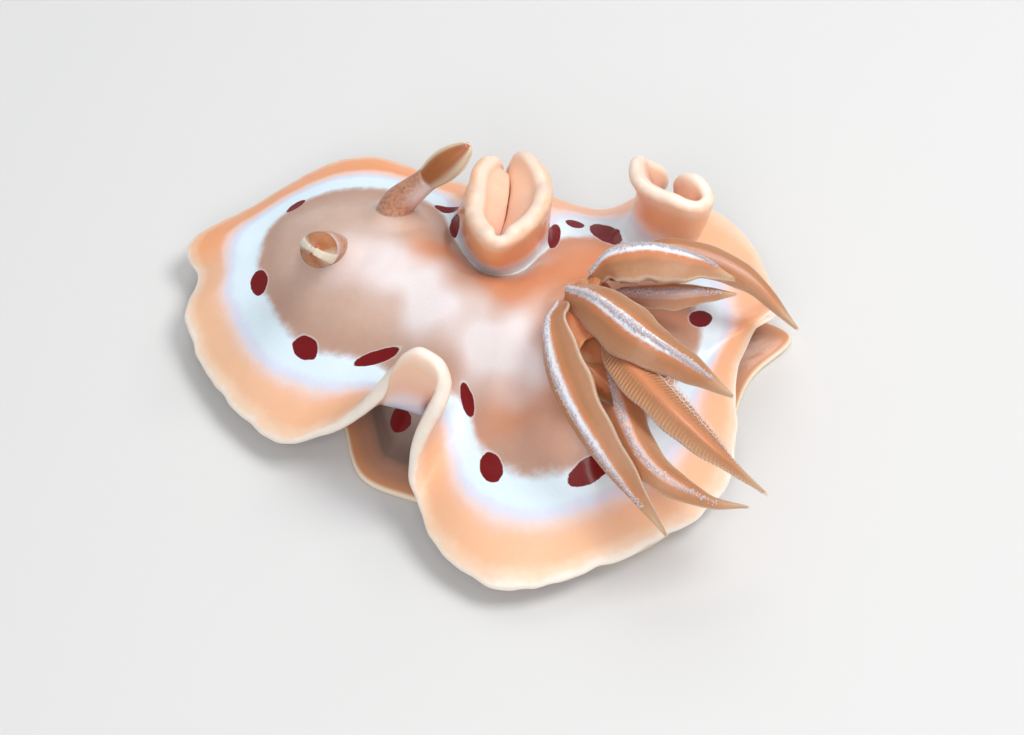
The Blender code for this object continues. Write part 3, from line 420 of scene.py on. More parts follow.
# Clouds on the back: x, y, radius, strength; how ragged they are, and how steeply they fade
CLOUD_RAGGED = 0.5
CLOUD_SWELL = 2.6
CLOUD_FADE = 1.2
PALE_CLOUDS = (
    (5.6, -0.2, 2.5, 0.9),
    (4.0, 1.2, 2.3, 0.7),
    (1.2, 2.2, 2.4, 0.35),
    (-2.6, 2.8, 2.9, 0.95),
    (-1.0, 4.2, 2.4, 0.6),
    (-4.6, 4.6, 2.4, 0.6),
    (11.0, -2.2, 2.8, 0.6),
    (8.6, -1.4, 2.2, 0.5),
)
RUST_CLOUDS = (
    (0.6, -2.0, 2.3, 0.8),
    (-2.3, -1.4, 2.2, 0.75),
    (3.6, -3.6, 2.2, 0.7),
    (6.3, -4.4, 2.3, 0.75),
    (-4.3, -4.4, 2.8, 0.8),
    (-5.8, -8.6, 3.4, 1.0),
    (-6.6, 6.6, 3.2, 0.5),
    (-3.6, 8.6, 2.6, 0.5),
    (1.5, 7.2, 2.2, 0.3),
    (-12.5, -2.5, 3.6, 0.7),
    (-10.5, 3.2, 2.6, 0.5),
    (-6.0, 1.4, 2.0, 0.5),
)
# How orange the skirt's middle band is at stations round its edge, the power that lays the bands nearer
# the root where it is below 1, and the share of the bands that the rim reaches
BANDS = (
    ("front corner", 0.8, 1.0, 0.98),
    ("front", 0.95, 0.95, 0.94),
    ("front right", 1.0, 0.9, 0.93),
    ("right lobe end", 1.0, 0.85, 0.93),
    ("right fold foot", 0.85, 0.8, 0.92),
    ("right fold cleft", 0.85, 0.65, 0.9),
    ("right fold tip", 0.8, 0.6, 0.9),
    ("right fold turn", 0.85, 0.8, 0.9),
    ("right fold far turn", 0.85, 0.8, 0.9),
    ("right fold far tip", 0.8, 0.6, 0.9),
    ("right fold far cleft", 0.95, 0.65, 0.88),
    ("trough", 0.7, 1.3, 0.9),
    ("rear fold foot", 0.7, 0.8, 0.9),
    ("rear fold crest", 0.65, 0.75, 0.92),
    ("rear fold hook", 0.6, 0.8, 0.93),
    ("rear right lobe", 0.45, 0.95, 0.95),
    ("ridge", 0.7, 0.9, 0.97),
    ("rear", 0.4, 1.0, 0.99),
    ("rear left", 0.4, 1.0, 1.0),
    ("rear left lobe tip", 0.35, 0.95, 1.0),
    ("left fold foot", 0.5, 0.9, 0.95),
    ("left fold crest", 0.55, 0.85, 0.93),
    ("left fold far foot", 0.5, 0.95, 0.95),
    ("left lobe", 0.35, 1.0, 1.0),
    ("left lobe end", 0.3, 1.05, 1.0),
    ("front dent", 0.4, 1.05, 1.0),
)
# Scallops of the rim: how many round the edge, and how far they reach
SCALLOPS = ((23, 0.09), (41, 0.08), (67, 0.05), (113, 0.03))

CAMERA_TARGET = (-2.54, 1.88, 5.0)
CAMERA_AZIMUTH = 197.0
CAMERA_ELEVATION = 52.0
CAMERA_DISTANCE = 203.17
CAMERA_LENS = 90.0
CAMERA_SENSOR = 36.0
# The world's light, and half the floor's side in metres
WORLD_COLOUR = (0.9, 0.93, 1.0)
WORLD_STRENGTH = 0.36
FLOOR_SIZE = 1.2


def smooth(x):
    """0 below 0, 1 above 1 and an even curve between."""
    x = np.clip(x, 0.0, 1.0)
    return x * x * (3 - 2 * x)


def unit(vectors):
    return vectors / np.linalg.norm(vectors, axis=-1, keepdims=True)


class Loop:
    """A closed smooth line through stations, with a smooth second derivative."""

    def __init__(self, places, points):
        self.places = np.asarray(places, float)
        self.points = np.asarray(points, float)
        count = len(self.points)
        self.steps = np.diff(self.places)
        slopes = (np.roll(self.points, -1, axis=0) - self.points) / self.steps[:, None]
        system = np.zeros((count, count))
        right = np.zeros_like(self.points)
        for k in range(count):
            before = self.steps[k - 1]
            system[k, k - 1] += before
            system[k, k] += 2 * (before + self.steps[k])
            system[k, (k + 1) % count] += self.steps[k]
            right[k] = 6 * (slopes[k] - slopes[k - 1])
        self.bends = np.linalg.solve(system, right)

    def at(self, places):
        places = np.asarray(places, float)
        span = self.places[-1] - self.places[0]
        wrapped = (places - self.places[0]) % span + self.places[0]
        k = np.clip(np.searchsorted(self.places, wrapped, side="right") - 1, 0, len(self.steps) - 1)
        h = self.steps[k][..., None]
        a = (self.places[k + 1] - wrapped)[..., None] / h
        b = 1.0 - a
        n = (k + 1) % len(self.points)
        curve = a * self.points[k] + b * self.points[n]
        return curve + ((a**3 - a) * self.bends[k] + (b**3 - b) * self.bends[n]) * h**2 / 6


NAMES = [row[0] for row in EDGE]
INNER = np.array([row[1] for row in EDGE], float)
RIM = np.array([row[2] for row in EDGE], float)


def edge_places():
    """How far round the edge each station lies."""
    inner = np.linalg.norm(np.roll(INNER, -1, axis=0) - INNER, axis=1)
    rim = np.linalg.norm(np.roll(RIM, -1, axis=0) - RIM, axis=1)
    return np.concatenate([[0.0], np.cumsum(ROOT_SHARE * inner + (1 - ROOT_SHARE) * rim)])


PLACES = edge_places()
AROUND = PLACES[-1]
INNER_LINE = Loop(PLACES, INNER)
RIM_LINE = Loop(PLACES, RIM)


def place_of(station):
    return PLACES[NAMES.index(station)]


def outward(places):
    """The level direction out of the body at the skirt's root."""
    ahead = unit((INNER_LINE.at(places + LINE_STEP) - INNER_LINE.at(places - LINE_STEP))[..., :2])
    return np.stack([-ahead[..., 1], ahead[..., 0], np.zeros_like(ahead[..., 0])], axis=-1)


def right_fold(places):
    """1 within the right fold, 0 away from it."""
    low, high = place_of("right fold tip"), place_of("right fold far tip")
    begun = smooth((places - low) / RIGHT_FOLD_BLEND + 0.5)
    return begun * smooth((high - places) / RIGHT_FOLD_BLEND + 0.5)


def mantle(places, across):
    """The skirt's upper face: places run along the edge, across runs from the root to the rim."""
    places, across = np.broadcast_arrays(np.asarray(places, float), np.asarray(across, float))
    root = INNER_LINE.at(places)
    rim = RIM_LINE.at(places)
    out = outward(places)
    rise = (rim - root)[..., 2:3]
    up = np.array([0.0, 0.0, 1.0])
    fold = np.maximum(rise, 0.0)
    drop = np.maximum(-rise, 0.0)
    share = FOLD_BELLY + RIGHT_FOLD_PINCH * right_fold(places)[..., None]
    belly = out * share * fold - up * FOLD_SAG * fold + up * LOBE_CROWN * drop
    t = across[..., None]
    return root + (rim - root) * t + 4 * t * (1 - t) * belly


def mantle_normal(places, across):
    step, share = FACE_STEPS
    along = mantle(places + step, across) - mantle(places - step, across)
    down = mantle(places, across + share) - mantle(places, across - share)
    normal = unit(np.cross(along, down))
    lift = smooth(across / ROOT_TURN)[..., None]
    return unit(lift * normal + (1 - lift) * np.array([0.0, 0.0, 1.0]))


def by_station(rows, places, column=1, outside=None):
    """The numbers of a table by stations, at places round the edge."""
    stations = [place_of(row[0]) for row in rows]
    found = np.interp(places, stations, [row[column] for row in rows], period=AROUND)
    if outside is None:
        return found
    return np.where((places % AROUND < stations[0]) | (places % AROUND > stations[-1]), outside, found)


def mantle_thickness(places, across, rim):
    """Thinner toward the rim, and in a tight fold thin enough for the under face to stay clear of itself."""
    thick = MANTLE_ROOT + (rim - MANTLE_ROOT) * across
    thick = thick + by_station(FOLD_PAD, places, outside=0.0) * smooth(across / FOLD_PAD_RAMP)
    tight = np.zeros(places.shape)
    for shift in BEND_SHIFTS:
        ahead, behind = places + shift + BEND_STEP, places + shift - BEND_STEP
        along = mantle(ahead, across) - mantle(behind, across)
        turn = mantle_normal(ahead, across) - mantle_normal(behind, across)
        bend = (turn * along).sum(axis=-1) / (along * along).sum(axis=-1)
        tight += (np.maximum(bend, 0.0) / FOLD_SLACK) ** THINNING_POWER / len(BEND_SHIFTS)
    return np.maximum((thick**-THINNING_POWER + tight) ** (-1 / THINNING_POWER), MANTLE_LEAST)


def under_face(places, across, rim):
    """The skirt's under face, drawn together inside the right fold."""
    first, last = (NAMES.index(name) for name in CLOSED_FOLD)
    stations = PLACES[first : last + 1]
    lead = stations[1] - stations[0]
    inside = smooth((places - stations[0]) / lead) * smooth((stations[-1] - places) / lead)
    crest = stations[len(stations) // 2]
    far = np.abs(places - crest) / (stations[-2] - crest)
    funnel = FOLD_FUNNEL * (1 - FOLD_SEAM * smooth(far))
    weight = FOLD_CLOSE * inside * smooth((1 - across) / funnel) * smooth(across / ROOT_TURN)

    def plain(spots):
        thick = mantle_thickness(spots, across, rim)[..., None]
        return mantle(spots, across) - mantle_normal(spots, across) * thick

    here = plain(places)
    facing = plain(np.interp(places, stations, stations[::-1]))
    return here + 0.5 * (facing - here) * weight[..., None]


def foot_outline(inset):
    """Points round the foot, drawn in from its outline."""
    points = np.array(FOOT, float)
    steps = np.linalg.norm(np.roll(points, -1, axis=0) - points, axis=1)
    places = np.concatenate([[0.0], np.cumsum(steps)])
    line = Loop(places, points)
    spots = np.linspace(0, places[-1], OUTLINE_POINTS, endpoint=False)
    ahead = unit(line.at(spots + LINE_STEP) - line.at(spots - LINE_STEP))
    return line.at(spots) - np.stack([-ahead[:, 1], ahead[:, 0]], axis=1) * inset


def reach(starts, towards, outline):
    """How far rays reach before they meet an outline, in units of towards."""
    side = np.roll(outline, -1, axis=0) - outline
    gap = outline[None] - starts[:, None]
    det = side[None, :, 0] * towards[:, 1:2] - side[None, :, 1] * towards[:, 0:1]
    det = np.where(np.abs(det) < 1e-9, 1e-9, det)
    far = (side[None, :, 0] * gap[..., 1] - side[None, :, 1] * gap[..., 0]) / det
    along = (towards[:, 0:1] * gap[..., 1] - towards[:, 1:2] * gap[..., 0]) / det
    good = (far > 0) & (along >= -1e-9) & (along <= 1 + 1e-9)
    return np.where(good, far, np.inf).min(axis=1)


def waves(points, size, seed):
    """Smooth noise of about -1 to 1 at points in millimetres, with swells of the given size."""
    shift = Vector((seed * 7.3, seed * 3.1, seed * 5.7))
    return np.array([noise.noise(Vector(p) / size + shift) for p in points])


def new_object(name, mesh):
    thing = bpy.data.objects.new(name, mesh)
    bpy.context.scene.collection.objects.link(thing)
    return thing


def add_attribute(mesh, name, values):
    """One number for each point of the mesh, for its material to read."""
    layer = mesh.attributes.new(name, "FLOAT", "POINT")
    layer.data.foreach_set("value", np.asarray(values, np.float32).ravel())


def mesh_of(name, points, faces, **attributes):
    """A smooth mesh from points in millimetres."""
    mesh = bpy.data.meshes.new(name)
    mesh.from_pydata([tuple(p) for p in np.asarray(points) * MM], [], faces)
    for key, values in attributes.items():
        add_attribute(mesh, key, values)
    mesh.update()
    mesh.shade_smooth()
    return mesh


def face_outward(shape):
    """Turns all faces of a closed bmesh outward."""
    bmesh.ops.recalc_face_normals(shape, faces=shape.faces)
    if shape.calc_volume(signed=True) < 0:
        bmesh.ops.reverse_faces(shape, faces=shape.faces)


def turn_outward(mesh):
    shape = bmesh.new()
    shape.from_mesh(mesh)
    face_outward(shape)
    shape.to_mesh(mesh)
    shape.free()


def grid_faces(rows, columns):
    """The faces of rows of points that run round and close."""
    faces = []
    for r in range(rows - 1):
        for c in range(columns):
            n = (c + 1) % columns
            faces.append((r * columns + c, r * columns + n, (r + 1) * columns + n, (r + 1) * columns + c))
    return faces


def capped_tube(rings):
    """Points and faces of a tube through rings, closed at both ends."""
    rows, columns = len(rings), len(rings[0])
    faces = grid_faces(rows, columns)
    faces.append(tuple(range(columns))[::-1])
    faces.append(tuple((rows - 1) * columns + k for k in range(columns)))
    return np.asarray(rings, float).reshape(-1, 3), faces


def closed_piece(name, rings, stuff, keys, **fields):
    """A closed tube in its material, with the fields that the material reads: those not given are 0."""
    points, faces = capped_tube(rings)
    for key in keys:
        fields[key] = np.broadcast_to(fields.get(key, 0.0), len(points))
    mesh = mesh_of(name, points, faces, **fields)
    turn_outward(mesh)
    if stuff:
        mesh.materials.append(stuff)
    return new_object(name, mesh)


# Materials


def feed(tree, socket, value):
    """Gives an input a value, or the output that feeds it."""
    if isinstance(value, bpy.types.NodeSocket):
        tree.links.new(value, socket)
    elif socket.type == "RGBA":
        socket.default_value = (*value, 1.0)
    else:
        socket.default_value = value


def add_node(tree, kind, links=None, **settings):
    """A node with its settings; links gives each input its value or source."""
    made = tree.nodes.new(kind)
    for key, value in settings.items():
        setattr(made, key, value)
    for key, value in (links or {}).items():
        feed(tree, made.inputs[key], value)
    return made


def colour(rgb):
    """A linear colour from one as a screen shows it, in parts of 255."""
    shares = [channel / 255 for channel in rgb]
    return tuple(s / 12.92 if s <= 0.04045 else ((s + 0.055) / 1.055) ** 2.4 for s in shares)


def ramp(tree, factor, stops):
    made = add_node(tree, "ShaderNodeValToRGB", {"Fac": factor})
    made.color_ramp.interpolation = "EASE"
    elements = made.color_ramp.elements
    while len(elements) > 1:
        elements.remove(elements[-1])
    for k, (place, shade) in enumerate(stops):
        element = elements[0] if k == 0 else elements.new(place)
        element.position = place
        element.color = (*shade, 1.0)
    return made.outputs["Color"]


def math_node(tree, operation, first, second=0.0, third=0.0):
    made = add_node(tree, "ShaderNodeMath", operation=operation)
    for socket, value in zip(made.inputs, (first, second, third)):
        feed(tree, socket, value)
    return made.outputs[0]


def times(tree, first, second):
    return math_node(tree, "MULTIPLY", first, second)


def mix_value(tree, factor, first, second):
    return add_node(tree, "ShaderNodeMix", {0: factor, 2: first, 3: second}, data_type="FLOAT").outputs[0]


def mix_colour(tree, factor, first, second):
    return add_node(tree, "ShaderNodeMix", {0: factor, 6: first, 7: second}, data_type="RGBA").outputs[2]


def read_attribute(tree, name):
    return add_node(tree, "ShaderNodeAttribute", attribute_name=name).outputs["Fac"]


def between(tree, value, low, high):
    """0 below low, 1 above high, smooth between; low may be over high to turn it round."""
    made = add_node(tree, "ShaderNodeMapRange", {"Value": value, "From Min": low, "From Max": high})
    made.interpolation_type = "SMOOTHERSTEP"
    return made.outputs["Result"]


def effect_group(name, inputs, outputs):
    """An empty node group with its sockets; returns the group, its inputs and its output node."""
    tree = bpy.data.node_groups.new(name, "ShaderNodeTree")
    for label, kind, value in inputs:
        socket = tree.interface.new_socket(label, in_out="INPUT", socket_type=kind)
        socket.default_value = value
    for label, kind in outputs:
        tree.interface.new_socket(label, in_out="OUTPUT", socket_type=kind)
    return tree, add_node(tree, "NodeGroupInput").outputs, add_node(tree, "NodeGroupOutput")


def clouding_group():
    """Soft patches in two sizes, laid on the model's own coordinates."""
    if "Clouding" in bpy.data.node_groups:
        return bpy.data.node_groups["Clouding"]
    tree, given, out = effect_group(
        "Clouding",
        (("Patches per metre", "NodeSocketFloat", 200.0), ("Finer share", "NodeSocketFloat", 0.3)),
        (("Patches", "NodeSocketFloat"), ("Colour shift", "NodeSocketFloat")),
    )
    place = add_node(tree, "ShaderNodeTexCoord").outputs["Object"]
    scale = given["Patches per metre"]
    broad = add_node(tree, "ShaderNodeTexNoise", {"Vector": place, "Scale": scale, "Detail": 3.0})
    finer = times(tree, scale, 5.0)
    small = add_node(tree, "ShaderNodeTexNoise", {"Vector": place, "Scale": finer, "Detail": 4.0})
    both = mix_value(tree, given["Finer share"], broad.outputs["Fac"], small.outputs["Fac"])
    tree.links.new(both, out.inputs["Patches"])
    tree.links.new(small.outputs["Fac"], out.inputs["Colour shift"])
    return tree


def wet_grain_group():
    """The height of fine pimples and wrinkles, for a Bump node, and the roughness of wet skin."""
    if "Wet grain" in bpy.data.node_groups:
        return bpy.data.node_groups["Wet grain"]
    tree, given, out = effect_group(
        "Wet grain",
        (
            ("Pimples per metre", "NodeSocketFloat", 4200.0),
            ("Wrinkle share", "NodeSocketFloat", 0.5),
            ("Roughness low", "NodeSocketFloat", 0.25),
            ("Roughness high", "NodeSocketFloat", 0.45),
        ),
        (("Height", "NodeSocketFloat"), ("Roughness", "NodeSocketFloat")),
    )
    place = add_node(tree, "ShaderNodeTexCoord").outputs["Object"]
    links = {"Vector": place, "Scale": given["Pimples per metre"]}
    pimples = add_node(tree, "ShaderNodeTexVoronoi", links, feature="SMOOTH_F1")
    folds = add_node(tree, "ShaderNodeTexNoise", {"Vector": place, "Scale": 1400.0, "Detail": 5.0})
    domes = math_node(tree, "SUBTRACT", 1.0, pimples.outputs["Distance"])
    height = mix_value(tree, given["Wrinkle share"], domes, folds.outputs["Fac"])
    tree.links.new(height, out.inputs["Height"])
    broad = add_node(tree, "ShaderNodeTexNoise", {"Vector": place, "Scale": 350.0, "Detail": 3.0})
    links = {"Value": broad.outputs["Fac"], "From Min": 0.3, "From Max": 0.7}
    rough = add_node(tree, "ShaderNodeMapRange", links)
    tree.links.new(given["Roughness low"], rough.inputs["To Min"])
    tree.links.new(given["Roughness high"], rough.inputs["To Max"])
    tree.links.new(rough.outputs["Result"], out.inputs["Roughness"])
    return tree


def place_group(tree, group, **values):
    made = add_node(tree, "ShaderNodeGroup")
    made.node_tree = group
    for key, value in values.items():
        made.inputs[key.replace("_", " ").capitalize()].default_value = value
    return made


def new_material(name, subsurface, coat):
    """A Principled material of wet flesh, and its tree and shader."""
    stuff = bpy.data.materials.new(name)
    stuff.use_nodes = True
    tree = stuff.node_tree
    shader = tree.nodes["Principled BSDF"]
    for key, value in (
        ("Subsurface Weight", subsurface),
        ("Subsurface Radius", (1.0, 0.45, 0.28)),
        ("Subsurface Scale", 0.9 * MM),
        ("IOR", 1.38),
        ("Coat Weight", coat),
        ("Coat Roughness", 0.12),
        ("Coat IOR", 1.34),
    ):
        shader.inputs[key].default_value = value
    return stuff, tree, shader


def finish_surface(tree, shader, shade, depth, wetness):
    """Joins colour, roughness and bump to the shader.

    The bump's depth is in metres; wetness has pimples per metre, the share of wrinkles, and the least and
    the most roughness.
    """
    labels = ("pimples_per_metre", "wrinkle_share", "roughness_low", "roughness_high")
    grain = place_group(tree, wet_grain_group(), **dict(zip(labels, wetness)))
    links = {"Height": grain.outputs["Height"], "Distance": depth, "Strength": 0.6}
    bump = add_node(tree, "ShaderNodeBump", links)
    tree.links.new(shade, shader.inputs["Base Color"])
    tree.links.new(grain.outputs["Roughness"], shader.inputs["Roughness"])
    tree.links.new(bump.outputs["Normal"], shader.inputs["Normal"])


# Settings


def tint(name, description, rgb):
    """A colour setting, given as a screen shows it."""
    return bpy.props.FloatVectorProperty(
        name=name, description=description, subtype="COLOR", default=colour(rgb)
    )


def number_of(name, description, default, least=0):
    return bpy.props.IntProperty(name=name, description=description, default=default, min=least)


def power_of(name, watts):
    return bpy.props.FloatProperty(name=name, description="Power in watts", default=watts, unit="POWER")


class SkinSettings(bpy.types.PropertyGroup):
    columns: number_of("Columns", "Points round the mantle's edge", 720, 200)
    skirt_rows: number_of("Skirt rows", "Rows over the mantle's skirt", 32, 8)
    rim: bpy.props.FloatProperty(
        name="Rim thickness", description="Of the mantle's edge", default=0.85 * MM, unit="LENGTH"
    )
    white: tint("Inner band", "Bluish white band", (226, 243, 253))
    orange: tint("Orange band", "Band outside the white one", (243, 162, 108))
    peach: tint("Peach band", "Where the band is paler", (252, 212, 178))
    cream: tint("Rim", "Cream rim of the mantle", (255, 240, 226))
    spot: tint("Spots", "Dark red spots", (118, 8, 12))
    back: tint("Back", "Tan of the back", (194, 162, 144))
    rust: tint("Rust", "Deep orange brown", (216, 142, 98))


class FeelerSettings(bpy.types.PropertyGroup):
    leaves: number_of("Leaves", "Leaves of each feeler's club", 38, 6)
    club: tint("Club", "Colour of the club", (196, 118, 62))


class GillSettings(bpy.types.PropertyGroup):
    grains: number_of("Grains", "Whitish tufts on a frosted leaf", 1300)
    curls: number_of("Curls", "Curled hairs along one leaf's edge", 22, 1)
    leaf: tint("Leaf", "Orange brown of the leaves", (228, 158, 112))
    deep: tint("Deep", "Darker brown between the ribs", (204, 124, 80))
    frost: tint("Frost", "Bluish white along the ridges", (252, 248, 254))


class StageSettings(bpy.types.PropertyGroup):
    floor: bpy.props.FloatVectorProperty(
        name="Floor", description="Pale floor", subtype="COLOR", default=(0.72, 0.715, 0.7)
    )
    key: power_of("Key light", 0.74)
    fill: power_of("Fill light", 0.62)


# Skin


def spine_at(x):
    """Points of the back's spine."""
    share = (x - SPINE_REAR[0]) / (SPINE_FRONT[0] - SPINE_REAR[0])
    y = SPINE_REAR[1] + (SPINE_FRONT[1] - SPINE_REAR[1]) * share
    z = np.interp(x, [row[0] for row in SPINE_HEIGHTS], [row[1] for row in SPINE_HEIGHTS])
    return np.column_stack([x, y, z])


def spine_under(line):
    """The point of the spine that a point of the edge looks to."""
    return spine_at(np.clip(SPINE_SCALE * line[:, 0] - SPINE_SHIFT, SPINE_REAR[0], SPINE_FRONT[0]))


def back_rows(line, spine, shares):
    """Rows of the back from the spine out to the edge; the first row closes on the spine itself."""
    rows = []
    for v in shares:
        ring = line + (spine - line) * v
        curve = (smooth(v) + 1 - (1 - v) ** 2) / 2
        ring[:, 2] = line[:, 2] + (spine[:, 2] - line[:, 2]) * curve
        rows.append(ring)
    steps = np.round((rows[0][:, 0] - SPINE_REAR[0]) / SPINE_STEP)
    closed = spine_at(np.minimum(SPINE_REAR[0] + steps * SPINE_STEP, SPINE_FRONT[0]))
    return [closed] + rows[1:]


def skirt_rows(places, count, rim):
    """Rows over the skirt, round its lip and back along its under face, each with its share across."""
    shares = np.linspace(0, 1, count) ** ROW_CROWDING
    across = np.repeat(shares[:, None], len(places), axis=1)
    spots = np.repeat(places[None], count, axis=0)
    edge = mantle(places, np.ones_like(places))
    away = unit(edge - mantle(places, np.full_like(places, SCALLOP_SHARE)))
    uneven = away[None] * (scallops(places)[None, :, None] * across[..., None] ** 3)
    top = mantle(spots, across) + uneven
    under = under_face(spots, across, rim) + uneven
    normal = mantle_normal(spots[-1:], across[-1:])[0]
    half = mantle_thickness(spots[-1:], across[-1:], rim)[0][:, None] / 2
    out = unit(edge - mantle(places, np.full_like(places, LIP_SHARE)))
    middle = top[-1] - normal * half
    lip = [
        middle + (normal * math.cos(angle) + out * math.sin(angle) * LIP_BULGE) * half
        for angle in np.linspace(0, math.pi, LIP_ROWS + 2)[1:-1]
    ]
    return list(top), lip, list(under[::-1]), shares


def wall_rows(line, out, spine, steps):
    """Rows from the under side of the skirt's root down to the foot."""
    wall = line - out * WALL_INSET
    wall[:, 2] = line[:, 2] - MANTLE_ROOT - WALL_DROP
    towards = (wall - spine)[:, :2]
    far = reach(spine[:, :2], towards, foot_outline(FOOT_SECTION[0][0]))
    far = np.minimum(far, 1 + WALL_REACH / np.linalg.norm(towards, axis=1))
    base = np.column_stack([spine[:, :2] + towards * far[:, None], np.full(len(line), WALL_FOOT)])
    rows = []
    for t in np.linspace(0, 1, steps):
        row = wall + (base - wall) * t
        row[:, :2] -= 4 * t * (1 - t) * WALL_HOLLOW * (base - wall)[:, :2]
        rows.append(row)
    return rows, towards, far


def foot_rows(spine, towards, far):
    """Rows out over the foot, round its edge and in along the flat sole."""
    rows = []
    for inset, height in FOOT_SECTION[1:]:
        reached = np.maximum(reach(spine[:, :2], towards, foot_outline(inset)), far)
        level = spine[:, :2] + towards * reached[:, None]
        rows.append(np.column_stack([level, np.full(len(spine), height)]))
    rim = rows[-1]
    for share in SOLE_RINGS:
        ring = rim + (spine - rim) * share
        ring[:, 2] = 0.0
        rows.append(ring)
    return rows


def blend_rows(rows, first, last, rounds):
    """Evens the rows from first to last against their neighbours, most in the middle of that stretch."""
    rows = rows.copy()
    span = np.arange(first, last + 1)
    weight = np.sin(math.pi * (span - first + 0.5) / (last - first + 1))[:, None, None]
    for _ in range(rounds):
        even = 0.5 * rows[span] + 0.25 * (rows[span - 1] + rows[span + 1])
        rows[span] += weight * (even - rows[span])
    return rows


def collar(points, place, radius, height, dip):
    """A low mound round a place, with a dip in its middle."""
    distance = np.hypot(points[:, 0] - place[0], points[:, 1] - place[1])
    far, ramp_length = MOUND_HOLLOW
    edge = smooth((radius + MOUND_EDGE - distance) / (2 * MOUND_EDGE))
    return height * edge - dip * smooth((far * radius - distance) / (ramp_length * radius))


def scallops(places):
    """How far the uneven rim stands out of its line."""
    turn = 2 * math.pi * places / AROUND
    return sum(reach * np.sin(count * turn + count) for count, reach in SCALLOPS)


def spot_field(points, band, beneath, low):
    """How far inside the nearest red spot each point lies, 1 at its middle and below 0 outside it."""
    best = np.full(len(points), NO_SPOT)
    for x, y, length, width, turn in SPOTS:
        angle = math.radians(turn)
        gap = points[:, :2] - (x, y)
        along = gap @ (math.cos(angle), math.sin(angle))
        across = gap @ (-math.sin(angle), math.cos(angle))
        best = np.maximum(best, 1 - np.sqrt((along / length) ** 2 + (across / width) ** 2))
    best = np.where((np.abs(band) < SPOT_REACH) & (beneath + low == 0), best, NO_SPOT)
    under = 1 - np.linalg.norm(points - SPOT_BELOW[:3], axis=1) / SPOT_BELOW[3]
    return np.maximum(best, np.where(beneath + low > 0, under, NO_SPOT))


def cloud_field(points, clouds):
    """Soft clouds summed up, with ragged outlines."""
    shift = CLOUD_RAGGED * np.column_stack([waves(points, CLOUD_SWELL, seed) for seed in (5, 6)])
    found = np.zeros(len(points))
    for x, y, radius, strength in clouds:
        gap = points[:, :2] + shift * radius - (x, y)
        found += strength * np.exp(-((gap**2).sum(axis=1) / radius**2) ** CLOUD_FADE)
    return np.clip(found, 0, 1)


# What the skin's material reads from each point
SKIN_FIELDS = ("band", "beneath", "low", "foot", "warm", "pale", "rust", "spot")


def banding(places, band):
    """How far out each point lies in the order of the skirt's colours, shifted by its station."""
    power = by_station(BANDS, places, 2)
    top = by_station(BANDS, places, 3)
    return np.where(band > 0, np.maximum(band, 0) ** power * (1 - (1 - top) * smooth(band)), band)


def make_skin(settings):
    """The skin from mid-back out to the rim, in under the skirt, down the wall and over the sole."""
    places = np.linspace(0, AROUND, settings.columns, endpoint=False)
    line = INNER_LINE.at(places)
    spine = spine_under(line)
    back_shares = np.linspace(1, 0, BACK_ROWS, endpoint=False)
    back = back_rows(line, spine, back_shares)
    top, lip, under, shares = skirt_rows(places, settings.skirt_rows, settings.rim / MM)
    wall, towards, far = wall_rows(line, outward(places), spine, WALL_ROWS)
    foot = foot_rows(spine, towards, far)
    rows = np.array(back + top + lip + under + wall + foot)
    join = len(back)
    rim_start = join + len(top)
    under_end = rim_start + len(lip) + len(under)
    for middle, (span, rounds) in ((join, UPPER_BLEND), (under_end, LOWER_BLEND)):
        rows = blend_rows(rows, middle - span, middle + span, rounds)
    count, columns = rows.shape[:2]
    # The lip's middle is painted lighter than the rim: partly the cream margin, partly a painted highlight
    # along the crest of the rolled lip
    lip_cream_and_highlight = 1 + LIP_CREAM_AND_HIGHLIGHT * np.sin(np.linspace(0, math.pi, len(lip) + 2)[1:-1])
    below = np.zeros(len(wall) + len(foot))
    band = np.concatenate([-back_shares, shares, lip_cream_and_highlight, shares[::-1], below])
    beneath = np.zeros(count)
    beneath[rim_start + len(lip) // 2 : under_end] = 1.0
    low = np.zeros(count)
    low[under_end:] = np.clip(np.arange(1, count - under_end + 1) / len(wall), 0, 1)
    foot_share = np.zeros(count)
    foot_share[under_end + len(wall) :] = np.clip(np.linspace(0, FOOT_COLOUR_REACH, len(foot)), 0, 1)
    points = rows.reshape(-1, 3)
    band = np.repeat(band, columns)
    around = np.tile(places, count)
    fields = {
        "band": banding(around, band),
        "beneath": np.repeat(beneath, columns),
        "low": np.repeat(low, columns),
        "foot": np.repeat(foot_share, columns),
        "warm": by_station(BANDS, around),
        "pale": cloud_field(points, PALE_CLOUDS),
        "rust": cloud_field(points, RUST_CLOUDS),
    }
    fields["spot"] = spot_field(points, band, fields["beneath"], fields["low"])
    mesh = mesh_of("skin", points, grid_faces(count, columns), **fields)
    shape = bmesh.new()
    shape.from_mesh(mesh)
    bmesh.ops.remove_doubles(shape, verts=shape.verts, dist=1e-7)
    bmesh.ops.holes_fill(shape, edges=[edge for edge in shape.edges if edge.is_boundary], sides=0)
    bmesh.ops.triangulate(shape, faces=[face for face in shape.faces if len(face.verts) > 4])
    face_outward(shape)
    tree = BVHTree.FromBMesh(shape)
    shape.to_mesh(mesh)
    shape.free()
    raise_relief(mesh)
    mesh.shade_smooth()
    return new_object("skin", mesh), tree


def read_points(mesh, kind):
    """The places or normals of a mesh's points."""
    values = np.empty(len(mesh.vertices) * 3)
    mesh.vertices.foreach_get(kind, values)
    return values.reshape(-1, 3)


